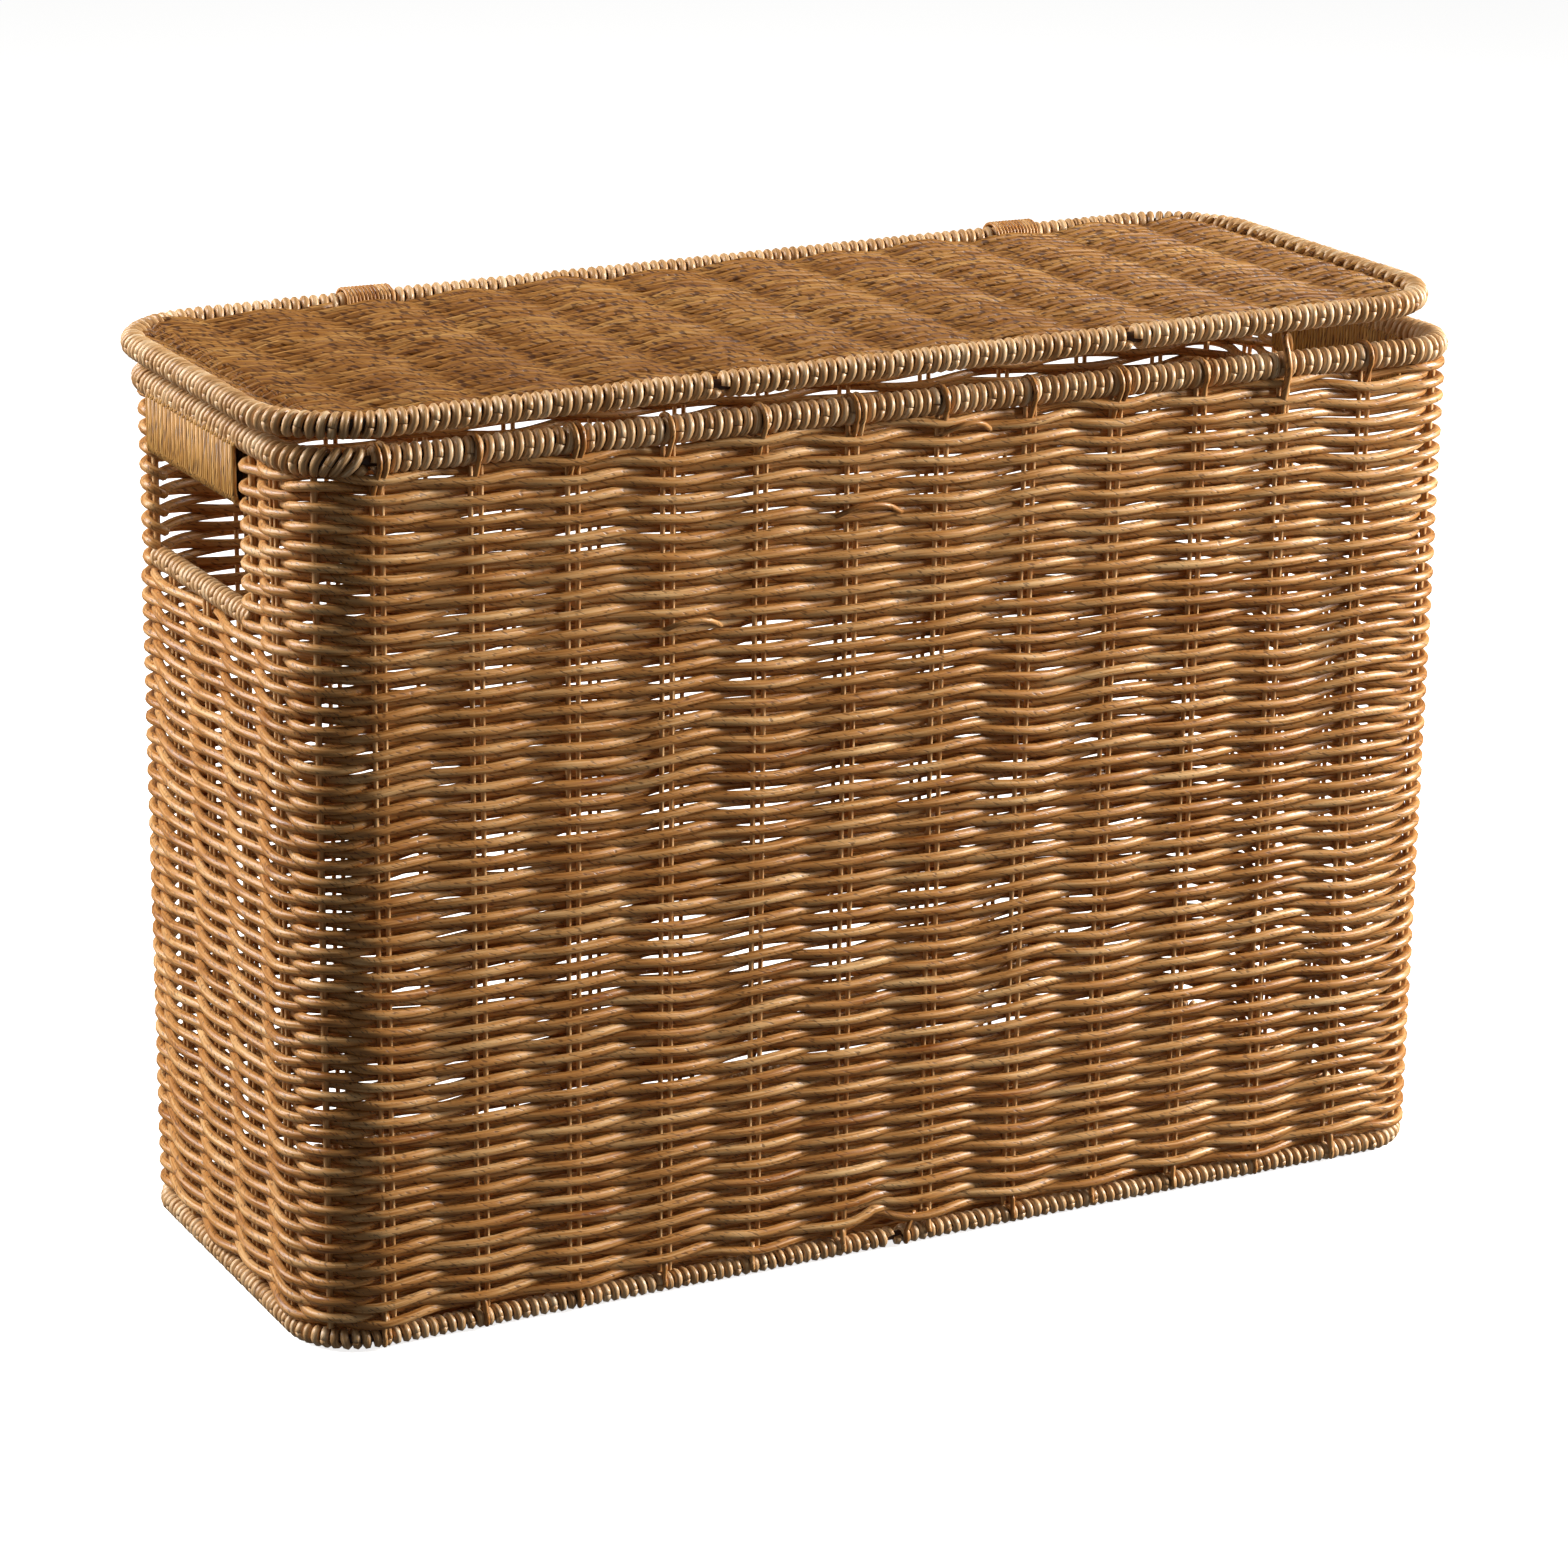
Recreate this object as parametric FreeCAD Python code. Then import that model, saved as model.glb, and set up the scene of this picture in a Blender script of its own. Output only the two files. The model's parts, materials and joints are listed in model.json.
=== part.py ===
import FreeCAD, Part
import math
import os

# Slim laundry hamper with a hinged lid: plastic cane woven over a steel wire frame.
# Millimetres. X runs along the long side, Y from front to back, Z up.
# The origin is the middle of the underside.

# ---- Basket ----
basket_length = 600.0         # centre lines of the rim and the base rail, left to right
basket_depth = 218.0          # the same, front to back
rim_height = 413.5            # underside to the centre of the rim
corner_radius = 30.0          # centre line of rim, base rail and walls at each corner
wall_thickness = 10.4         # woven wall, over the crests of the weave

rim_rod_diameter = 5.0
rim_wrap_diameter = 13.5
base_rod_diameter = 4.0
base_wrap_diameter = 10.0
corner_post_diameter = 3.2
floor_thickness = 9.0
base_wrap_join = -5.0         # X of the join in the front stretch of the base wrap

# ---- Stakes: the pairs of thin upright canes that the weave goes round ----
stake_diameter = 2.3
stake_pair_spacing = 5.0
wall_stake_pitch = 46.5       # between pairs on the two long walls and in the floor
end_stake_pitch = 43.0        # between pairs on the two short walls
stake_end_margin = 4.0        # from the end of a wall's flat stretch to its first pair

# ---- Strands that tie the stakes over the rim ----
strand_diameter = 3.0
strand_start_angle = -40.0    # degrees, from the outward side of the rim
strand_end_angle = 150.0
prop_loop_place = 200.0       # X; the strand of the nearest pair stands up as a loop
prop_loop_radius = 3.5

# ---- Handles, one in each short wall ----
cheek_width = 25.0            # woven wall in front of the handle's front post
handle_hole_height = 43.0
handle_band_height = 26.0
handle_band_thickness = 12.0
handle_band_rounding = 4.2    # of its lower edges
handle_band_skin = 1.6        # cane around the rod along the lower edge of the band
handle_rod_diameter = 5.0
sill_rod_diameter = 4.0
sill_wrap_diameter = 11.0
post_diameter = 3.2
post_wrap_diameter = 9.0

# ---- Lid ----
lid_extra_length = 0.0        # of the centre line of its rail, over that of the rim
lid_extra_depth = 8.0
lid_corner_radius = 45.0
lid_rod_diameter = 5.0
lid_wrap_diameter = 12.5
lid_thickness = 9.6
lid_stake_pitch = 51.0
lid_stake_margin = 14.0       # from the weave's left edge to the first pair
lid_rest_clearance = 0.34     # between its lowest corner and the strands on the rim
lid_shift = -8.1              # the lid sits a little to the left
lid_roll = 0.76               # degrees: the right end stands higher on its loop
lid_pitch = 0.60              # degrees: the back edge stands higher on its hinges
lid_wrap_joins = (-96.0, 118.0)   # X, on the lid, of the joins in its front wrap

# ---- Hinges: lashings of cane round the rim and the lid's back rail ----
hinge_inset = 122.0           # from each end of the basket to the middle of a hinge
hinge_width = 26.0
hinge_cane = 3.0
hinge_clearance = 0.05        # running fit, radial
hinge_neck = 6.0
hinge_notch_gap = 0.6         # between a hinge and the notch for it in the lid
hinge_tuck = 2.0              # from the rim's underside up to where the cane enters the wall

# ---- Fits ----
channel_clearance = 0.05      # radial, between a stake or post and its channel
edge_clearance = 0.2          # between a woven panel and the rail round it
prop_clearance = 0.4          # between the standing loop and the lid's rail

# ---- Worked out from the above ----
half_length = basket_length / 2
half_depth = basket_depth / 2
straight_x = half_length - corner_radius
straight_y = half_depth - corner_radius
rim_radius = rim_wrap_diameter / 2
lid_rail_radius = lid_wrap_diameter / 2
base_height = base_wrap_diameter / 2
wall_bottom = base_wrap_diameter
wall_top = rim_height - rim_radius
hole_top = wall_top - handle_band_height
hole_bottom = hole_top - handle_hole_height
sill_height = hole_bottom - sill_wrap_diameter / 2
sill_underside = hole_bottom - sill_wrap_diameter
hole_back = straight_y - post_wrap_diameter
hole_front = -straight_y + cheek_width + post_wrap_diameter
channel_diameter = stake_diameter + 2 * channel_clearance
lid_length = basket_length + lid_extra_length
lid_depth = basket_depth + lid_extra_depth
lid_drop = (
    lid_length / 2 * math.sin(math.radians(lid_roll))
    + lid_depth / 2 * math.sin(math.radians(lid_pitch))
)
lid_gap = strand_diameter + lid_rest_clearance + lid_drop
lid_height = rim_height + rim_radius + lid_gap + lid_rail_radius

Z_AXIS = FreeCAD.Vector(0, 0, 1)


def vec(x, y, z):
    return FreeCAD.Vector(x, y, z)


def rod(start, end, diameter):
    """A round bar from one point to another."""
    run = end - start
    return Part.makeCylinder(diameter / 2, run.Length, start, run)


def sleeve(start, end, outer, inner):
    """A round tube from one point to another."""
    return rod(start, end, outer).cut(rod(start, end, inner))


def block(x, y, z):
    """A box between pairs of X, Y and Z values."""
    return Part.makeBox(x[1] - x[0], y[1] - y[0], z[1] - z[0], vec(x[0], y[0], z[0]))


def bend(corner, radius, diameter, z):
    """A quarter turn of round bar; corner gives the signs of X and Y and the turn's centre."""
    sign_x, sign_y, centre_x, centre_y = corner
    start_x = centre_x + sign_x * radius
    disc = Part.Face(Part.Wire(Part.makeCircle(diameter / 2, vec(start_x, centre_y, z), vec(0, 1, 0))))
    return disc.revolve(vec(centre_x, centre_y, z), Z_AXIS, 90 * sign_x * sign_y)


def corners(length, depth, radius):
    """The four corners of a rounded rectangle, as bend() takes them."""
    x = length / 2 - radius
    y = depth / 2 - radius
    return [(sx, sy, sx * x, sy * y) for sx, sy in ((-1, -1), (1, -1), (1, 1), (-1, 1))]


def bent_sleeve(corner, radius, outer, inner, z):
    """A quarter turn of round tube."""
    return bend(corner, radius, outer, z).cut(bend(corner, radius, inner, z))


def ring(length, depth, radius, diameter, z):
    """A closed rounded rectangle of round bar."""
    x = length / 2
    y = depth / 2
    pieces = [
        rod(vec(-x + radius, -y, z), vec(x - radius, -y, z), diameter),
        rod(vec(-x + radius, y, z), vec(x - radius, y, z), diameter),
        rod(vec(-x, -y + radius, z), vec(-x, y - radius, z), diameter),
        rod(vec(x, -y + radius, z), vec(x, y - radius, z), diameter),
    ]
    pieces += [bend(corner, radius, diameter, z) for corner in corners(length, depth, radius)]
    return pieces[0].multiFuse(pieces[1:]).removeSplitter()


def rounded_slab(length, depth, radius, bottom, thickness):
    """A flat plate with rounded corners."""
    plate = block((-length / 2, length / 2), (-depth / 2, depth / 2), (bottom, bottom + thickness))
    upright = [edge for edge in plate.Edges if edge.BoundBox.ZLength > thickness / 2]
    return plate.makeFillet(radius, upright)


def places(first, last, pitch):
    """Evenly pitched places from first, as many as fit before last."""
    count = int((last - first) / pitch) + 1
    return [first + index * pitch for index in range(count)]


def pair(place):
    """The two canes of a stake pair."""
    return (place - stake_pair_spacing / 2, place + stake_pair_spacing / 2)


def turned(shape):
    """The same piece on the opposite side of the basket."""
    copy = shape.copy()
    copy.rotate(vec(0, 0, 0), Z_AXIS, 180)
    return copy


def on_lid(shape):
    """Moves a piece made flat about the lid's own centre to its place on the basket."""
    copy = shape.copy()
    copy.rotate(vec(0, 0, 0), vec(1, 0, 0), lid_pitch)
    copy.rotate(vec(0, 0, 0), vec(0, 1, 0), -lid_roll)
    copy.translate(vec(lid_shift, 0, lid_height))
    return copy


def lid_point(x, y):
    """Where a point of the lid's middle plane is on the basket."""
    return on_lid(Part.Vertex(x, y, 0)).Point


# ---------------------------------------------------------------- frame and wraps

wall_stakes = places(-straight_x + stake_end_margin, straight_x - stake_end_margin, wall_stake_pitch)
end_stakes = places(-straight_y + stake_end_margin, straight_y - stake_end_margin, end_stake_pitch)
basket_corners = corners(basket_length, basket_depth, corner_radius)
corner_names = ("front_left", "front_right", "back_right", "back_left")


def rail_wraps(name, z, outer, inner):
    """Cane sleeves on the straight stretches of a rail, and one group on its corners."""
    x = half_length
    y = half_depth
    return {
        name + "_back": sleeve(vec(-straight_x, y, z), vec(straight_x, y, z), outer, inner),
        name + "_left": sleeve(vec(-x, -straight_y, z), vec(-x, straight_y, z), outer, inner),
        name + "_right": sleeve(vec(x, -straight_y, z), vec(x, straight_y, z), outer, inner),
        name + "_corners": Part.makeCompound(
            [bent_sleeve(corner, corner_radius, outer, inner, z) for corner in basket_corners]
        ),
    }


def rim_pieces():
    nodes = rail_wraps("rim_wrap", rim_height, rim_wrap_diameter, rim_rod_diameter)
    nodes["rim_rod"] = ring(basket_length, basket_depth, corner_radius, rim_rod_diameter, rim_height)
    nodes["rim_wrap_front"] = sleeve(
        vec(-straight_x, -half_depth, rim_height),
        vec(straight_x, -half_depth, rim_height),
        rim_wrap_diameter,
        rim_rod_diameter,
    )
    return nodes


def base_pieces():
    nodes = rail_wraps("base_wrap", base_height, base_wrap_diameter, base_rod_diameter)
    nodes["base_rod"] = ring(basket_length, basket_depth, corner_radius, base_rod_diameter, base_height)
    stretches = {
        "base_wrap_front_left": (-straight_x, base_wrap_join),
        "base_wrap_front_right": (base_wrap_join, straight_x),
    }
    for name, (left, right) in stretches.items():
        nodes[name] = sleeve(
            vec(left, -half_depth, base_height),
            vec(right, -half_depth, base_height),
            base_wrap_diameter,
            base_rod_diameter,
        )
    return nodes


def corner_post(corner, diameter):
    """The upright in the middle of one corner's turn."""
    sign_x, sign_y, centre_x, centre_y = corner
    reach = corner_radius * math.sqrt(0.5)
    x = centre_x + sign_x * reach
    y = centre_y + sign_y * reach
    return rod(vec(x, y, wall_bottom), vec(x, y, wall_top), diameter)


# ---------------------------------------------------------------- woven panels and stakes

def upright_pairs(stakes, y, top, diameter):
    """Stake pairs that stand in a wall along X, from the base rail to a height."""
    return [
        rod(vec(x, y, wall_bottom), vec(x, y, top), diameter)
        for place in stakes
        for x in pair(place)
    ]


def end_pairs(diameter):
    """Stake pairs of the left wall: short below the handle, tall in front of it."""
    uprights = []
    for place in end_stakes:
        beside_hole = place < hole_front - post_wrap_diameter
        top = wall_top if beside_hole else sill_underside
        for y in pair(place):
            uprights.append(rod(vec(-half_length, y, wall_bottom), vec(-half_length, y, top), diameter))
    return uprights


def wall_panels():
    """The four walls, as flat panels, cheeks beside the handles and rounded corners."""
    half_wall = wall_thickness / 2
    front = block(
        (-straight_x, straight_x),
        (-half_depth - half_wall, -half_depth + half_wall),
        (wall_bottom, wall_top),
    )
    front = front.cut(Part.makeCompound(upright_pairs(wall_stakes, -half_depth, wall_top, channel_diameter)))
    end_faces = (-half_length - half_wall, -half_length + half_wall)
    channels = Part.makeCompound(end_pairs(channel_diameter))
    left = block(end_faces, (-straight_y, straight_y), (wall_bottom, sill_underside)).cut(channels)
    cheek_back = hole_front - post_wrap_diameter
    cheek = block(end_faces, (-straight_y, cheek_back), (sill_underside, wall_top)).cut(channels)
    nodes = {
        "front_weave": front,
        "back_weave": turned(front),
        "left_weave": left,
        "right_weave": turned(left),
        "left_cheek_weave": cheek,
        "right_cheek_weave": turned(cheek),
    }
    for name, corner in zip(corner_names, basket_corners):
        nodes["corner_weave_" + name] = corner_panel(corner)
    return nodes


def corner_panel(corner):
    """A quarter of an upright tube of weave, with a channel for the corner post."""
    sign_x, sign_y, centre_x, centre_y = corner
    inner = centre_x + sign_x * (corner_radius - wall_thickness / 2)
    outer = centre_x + sign_x * (corner_radius + wall_thickness / 2)
    section = Part.Face(Part.makePolygon([
        vec(inner, centre_y, wall_bottom),
        vec(outer, centre_y, wall_bottom),
        vec(outer, centre_y, wall_top),
        vec(inner, centre_y, wall_top),
        vec(inner, centre_y, wall_bottom),
    ]))
    panel = section.revolve(vec(centre_x, centre_y, 0), Z_AXIS, 90 * sign_x * sign_y)
    return panel.cut(corner_post(corner, corner_post_diameter + 2 * channel_clearance))


def stake_groups():
    front = Part.makeCompound(upright_pairs(wall_stakes, -half_depth, wall_top, stake_diameter))
    left = Part.makeCompound(end_pairs(stake_diameter))
    return {
        "front_stakes": front,
        "back_stakes": turned(front),
        "left_stakes": left,
        "right_stakes": turned(left),
        "corner_posts": Part.makeCompound(
            [corner_post(corner, corner_post_diameter) for corner in basket_corners]
        ),
    }


def floor_pieces():
    inset = base_wrap_diameter + 2 * edge_clearance
    slab = rounded_slab(
        basket_length - inset,
        basket_depth - inset,
        corner_radius - inset / 2,
        0,
        floor_thickness,
    )
    return {
        "floor_weave": slab.cut(floor_pairs(channel_diameter)),
        "floor_stakes": floor_pairs(stake_diameter).common(slab),
    }


def floor_pairs(diameter):
    """Stake pairs right across the floor, longer than the woven panel."""
    height = floor_thickness / 2
    return Part.makeCompound([
        rod(vec(x, -half_depth, height), vec(x, half_depth, height), diameter)
        for place in wall_stakes
        for x in pair(place)
    ])


# ---------------------------------------------------------------- strands over the rim

def strand(place):
    """One strand that climbs the outside of the front rim and goes over its top."""
    reach = rim_radius + strand_diameter / 2
    angle = math.radians(strand_start_angle)
    start = vec(place, -half_depth - reach * math.cos(angle), rim_height + reach * math.sin(angle))
    normal = vec(0, -math.sin(angle), -math.cos(angle))
    disc = Part.Face(Part.Wire(Part.makeCircle(strand_diameter / 2, start, normal)))
    turn = strand_end_angle - strand_start_angle
    return disc.revolve(vec(place, -half_depth, rim_height), vec(-1, 0, 0), turn)


def prop_loop(place):
    """The strand that stands up as a loop, on which the lid's right end rests."""
    rail_underside = lid_point(place - lid_shift, -lid_depth / 2).z - lid_rail_radius
    crown = rail_underside - prop_clearance - strand_diameter / 2
    shoulder = crown - prop_loop_radius
    y = -half_depth
    legs = [
        rod(vec(place + side, y, rim_height), vec(place + side, y, shoulder), strand_diameter)
        for side in (-prop_loop_radius, prop_loop_radius)
    ]
    start = vec(place + prop_loop_radius, y, shoulder)
    disc = Part.Face(Part.Wire(Part.makeCircle(strand_diameter / 2, start, Z_AXIS)))
    arch = disc.revolve(vec(place, y, shoulder), vec(0, -1, 0), 180)
    rim_start = vec(place - rim_wrap_diameter, y, rim_height)
    rim_end = vec(place + rim_wrap_diameter, y, rim_height)
    return arch.multiFuse(legs).cut(rod(rim_start, rim_end, rim_wrap_diameter))


def strand_pieces():
    prop_place = min(wall_stakes, key=lambda place: abs(place - prop_loop_place))
    front = [strand(place) for place in wall_stakes if place != prop_place]
    hinge_zone = hinge_width / 2 + strand_diameter
    back = []
    for place in wall_stakes:
        if all(abs(place + middle) > hinge_zone for middle in hinge_middles()):
            back.append(turned(strand(place)))
    return {
        "rim_strands": Part.makeCompound(front + back),
        "prop_loop": prop_loop(prop_place),
    }


# ---------------------------------------------------------------- handles

def handle_pieces():
    """Band, sill, posts and their wraps in the left wall."""
    x = -half_length
    posts = [hole_front - post_wrap_diameter / 2, hole_back + post_wrap_diameter / 2]
    band_rod_height = hole_top + handle_band_skin + handle_rod_diameter / 2
    near = posts[0] + post_diameter / 2
    far = posts[1] - post_diameter / 2
    sill_rod = rod(vec(x, near, sill_height), vec(x, far, sill_height), sill_rod_diameter)
    band_rod = rod(vec(x, near, band_rod_height), vec(x, far, band_rod_height), handle_rod_diameter)
    sill_wrap = sleeve(
        vec(x, hole_front, sill_height),
        vec(x, hole_back, sill_height),
        sill_wrap_diameter,
        sill_rod_diameter,
    )
    half_band = handle_band_thickness / 2
    band = block((x - half_band, x + half_band), (hole_front, hole_back), (hole_top, wall_top))
    lower = [
        edge
        for edge in band.Edges
        if edge.BoundBox.ZMax < hole_top + handle_band_skin and edge.BoundBox.YLength > handle_band_thickness
    ]
    band = band.makeFillet(handle_band_rounding, lower).cut(band_rod)
    post_rods = [rod(vec(x, y, sill_underside), vec(x, y, wall_top), post_diameter) for y in posts]
    post_wraps = [
        sleeve(vec(x, y, sill_underside), vec(x, y, wall_top), post_wrap_diameter, post_diameter)
        .cut(sill_rod)
        .cut(band_rod)
        for y in posts
    ]
    pieces = {
        "sill_rod": sill_rod,
        "sill_wrap": sill_wrap,
        "handle_rod": band_rod,
        "handle_band": band,
        "handle_posts": Part.makeCompound(post_rods),
        "post_wraps": Part.makeCompound(post_wraps),
    }
    nodes = {}
    for name, shape in pieces.items():
        nodes["left_" + name] = shape
        nodes["right_" + name] = turned(shape)
    return nodes


# ---------------------------------------------------------------- lid

def hinge_middles():
    """X of the middle of each hinge, on the basket."""
    return (hinge_inset - half_length, half_length - hinge_inset)


def lid_pieces():
    x = lid_length / 2
    y = lid_depth / 2
    flat_x = x - lid_corner_radius
    flat_y = y - lid_corner_radius
    wrap = (lid_wrap_diameter, lid_rod_diameter)
    breaks = (-flat_x,) + lid_wrap_joins + (flat_x,)
    names = ("lid_wrap_front_left", "lid_wrap_front_middle", "lid_wrap_front_right")
    pieces = {
        "lid_rod": ring(lid_length, lid_depth, lid_corner_radius, lid_rod_diameter, 0),
        "lid_wrap_back": sleeve(vec(-flat_x, y, 0), vec(flat_x, y, 0), *wrap),
        "lid_wrap_left": sleeve(vec(-x, -flat_y, 0), vec(-x, flat_y, 0), *wrap),
        "lid_wrap_right": sleeve(vec(x, -flat_y, 0), vec(x, flat_y, 0), *wrap),
        "lid_wrap_corners": Part.makeCompound([
            bent_sleeve(corner, lid_corner_radius, *wrap, 0)
            for corner in corners(lid_length, lid_depth, lid_corner_radius)
        ]),
    }
    for name, left, right in zip(names, breaks[:-1], breaks[1:]):
        pieces[name] = sleeve(vec(left, -y, 0), vec(right, -y, 0), *wrap)
    inset = lid_wrap_diameter + 2 * edge_clearance
    panel = rounded_slab(
        lid_length - inset,
        lid_depth - inset,
        lid_corner_radius - inset / 2,
        -lid_thickness / 2,
        lid_thickness,
    )
    panel = panel.cut(Part.makeCompound(hinge_notches()))
    pieces["lid_weave"] = panel.cut(lid_pairs(channel_diameter))
    pieces["lid_stakes"] = lid_pairs(stake_diameter).common(panel)
    return {name: on_lid(shape) for name, shape in pieces.items()}


def lid_pairs(diameter):
    """Stake pairs right across the lid, longer than the woven panel."""
    weave_edge = lid_length / 2 - lid_rail_radius
    reach = lid_depth / 2
    stakes = places(-weave_edge + lid_stake_margin, weave_edge - stake_end_margin, lid_stake_pitch)
    return Part.makeCompound([
        rod(vec(x, -reach, 0), vec(x, reach, 0), diameter)
        for place in stakes
        for x in pair(place)
    ])


def hinge_notches():
    """Room in the lid's back edge for each hinge, in the lid's own place."""
    half_width = hinge_width / 2 + hinge_notch_gap
    depth = lid_rail_radius + hinge_clearance + hinge_cane + hinge_notch_gap
    back = lid_depth / 2
    return [
        block(
            (middle - lid_shift - half_width, middle - lid_shift + half_width),
            (back - depth, back),
            (-lid_thickness, lid_thickness),
        )
        for middle in hinge_middles()
    ]


# ---------------------------------------------------------------- hinges

def hinge(middle):
    """A lashing: a sleeve round the lid's back rail, a neck, and a saddle on the rim."""
    half_width = hinge_width / 2
    bore = lid_wrap_diameter + 2 * hinge_clearance
    eye_start = vec(middle - lid_shift - half_width, lid_depth / 2, 0)
    eye_end = vec(middle - lid_shift + half_width, lid_depth / 2, 0)
    eye = on_lid(rod(eye_start, eye_end, bore + 2 * hinge_cane))
    bore_run = vec(hinge_width, 0, 0)
    eye_bore = on_lid(rod(eye_start - bore_run, eye_end + bore_run, bore))
    saddle = rod(
        vec(middle - half_width, half_depth, rim_height),
        vec(middle + half_width, half_depth, rim_height),
        rim_wrap_diameter + 2 * hinge_cane,
    )
    rim = rod(
        vec(middle - hinge_width, half_depth, rim_height),
        vec(middle + hinge_width, half_depth, rim_height),
        rim_wrap_diameter,
    )
    eye_centre = lid_point(middle - lid_shift, lid_depth / 2)
    low = vec(0, half_depth, rim_height)
    rise = vec(0, eye_centre.y - low.y, eye_centre.z - low.z)
    neck_corner = vec(middle - half_width, half_depth - hinge_neck / 2, rim_height)
    neck = Part.makeBox(hinge_width, hinge_neck, rise.Length, neck_corner)
    lean = math.degrees(math.atan2(-rise.y, rise.z))
    neck.rotate(vec(middle, half_depth, rim_height), vec(1, 0, 0), lean)
    below_rim = block(
        (middle - hinge_width, middle + hinge_width),
        (half_depth - rim_wrap_diameter, half_depth + rim_wrap_diameter),
        (wall_top - rim_wrap_diameter, wall_top + hinge_tuck),
    )
    return neck.multiFuse([eye, saddle]).cut(eye_bore).cut(rim).cut(below_rim)


def hinge_pieces():
    left, right = hinge_middles()
    return {"hinge_left": hinge(left), "hinge_right": hinge(right)}


def main():
    nodes = {}
    for make in (
        rim_pieces,
        base_pieces,
        wall_panels,
        stake_groups,
        floor_pieces,
        strand_pieces,
        handle_pieces,
        lid_pieces,
        hinge_pieces,
    ):
        nodes.update(make())
    os.makedirs("parts", exist_ok=True)
    for name, shape in nodes.items():
        shape.exportStep("parts/" + name + ".step")
    axis_start = lid_point(-lid_length / 2, lid_depth / 2)
    axis_end = lid_point(lid_length / 2, lid_depth / 2)
    axis = (axis_end - axis_start).normalize()
    print("nodes", len(nodes))
    print("lid hinge at", lid_point(0, lid_depth / 2), "axis", axis)


main()
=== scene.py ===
"""Looks of a slim laundry hamper: plastic cane woven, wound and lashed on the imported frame."""

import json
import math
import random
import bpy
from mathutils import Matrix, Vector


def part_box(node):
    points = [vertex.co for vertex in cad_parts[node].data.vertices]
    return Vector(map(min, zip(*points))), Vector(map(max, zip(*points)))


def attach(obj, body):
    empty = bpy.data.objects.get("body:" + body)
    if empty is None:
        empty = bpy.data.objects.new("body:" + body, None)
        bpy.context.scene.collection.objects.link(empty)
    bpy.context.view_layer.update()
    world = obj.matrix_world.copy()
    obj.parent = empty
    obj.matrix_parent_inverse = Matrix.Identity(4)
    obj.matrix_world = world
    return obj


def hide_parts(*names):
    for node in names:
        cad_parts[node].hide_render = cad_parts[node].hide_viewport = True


bl_info = {
    "name": "Woven Laundry Hamper",
    "version": (1, 0, 0),
    "blender": (4, 5, 0),
    "location": "View3D > Sidebar > Hamper",
    "description": "Weaves and winds the plastic cane of a laundry hamper on its wire frame",
    "category": "Object",
}

import bmesh
import bpy
import numpy as np
from mathutils import Matrix, Vector

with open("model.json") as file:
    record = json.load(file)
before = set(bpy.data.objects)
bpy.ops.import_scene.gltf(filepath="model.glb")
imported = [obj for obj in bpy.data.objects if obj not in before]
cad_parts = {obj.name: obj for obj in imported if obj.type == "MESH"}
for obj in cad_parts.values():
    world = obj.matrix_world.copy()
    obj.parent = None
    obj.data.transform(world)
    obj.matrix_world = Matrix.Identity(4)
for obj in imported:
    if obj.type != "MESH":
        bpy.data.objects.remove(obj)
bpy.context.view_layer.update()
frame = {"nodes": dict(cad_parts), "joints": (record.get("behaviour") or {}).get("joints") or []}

MM = 0.001


# ------------------------------------------------------------ places read from the frame

def middle(node):
    """The centre of a CAD node's box."""
    low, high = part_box(node)
    return (low + high) / 2


def extent(node):
    """The three sides of a CAD node's box."""
    low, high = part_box(node)
    return high - low


RIM_ROD = extent("rim_rod").z
RIM_HEIGHT = middle("rim_rod").z
RIM_RADIUS = extent("rim_wrap_front").z / 2
HALF_X = (extent("rim_rod").x - RIM_ROD) / 2
HALF_Y = (extent("rim_rod").y - RIM_ROD) / 2
CORNER = HALF_X - extent("rim_wrap_front").x / 2
BASE_HEIGHT = middle("base_rod").z
BASE_RADIUS = extent("base_wrap_back").z / 2
BASE_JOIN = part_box("base_wrap_front_left")[1].x
WALL_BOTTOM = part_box("front_weave")[0].z
WALL_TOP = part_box("front_weave")[1].z
SILL_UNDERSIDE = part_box("left_weave")[1].z
SILL_HEIGHT = middle("left_sill_wrap").z
SILL_RADIUS = extent("left_sill_wrap").z / 2
BAND_LOW, BAND_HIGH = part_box("left_handle_band")
POST = extent("left_handle_posts").x
FRONT_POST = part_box("left_handle_posts")[0].y + POST / 2
BACK_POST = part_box("left_handle_posts")[1].y - POST / 2
FLOOR_HEIGHT = middle("floor_weave").z
FLOOR_THICKNESS = extent("floor_weave").z

STAKE = extent("front_stakes").y
PAIR_HALF = 2.5 * MM              # from the middle of a stake pair to the middle of one cane
WALL_PAIRS = 12
END_PAIRS = 4
LID_PAIRS = 12

LID_ROD = 5.0 * MM
LID_CORNER = 45.0 * MM
LID_WRAP_JOINS = (-0.096, 0.118)  # X, on the lid, of the joins in its front wrap
HINGE_WIDTH = extent("hinge_left").x

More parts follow.
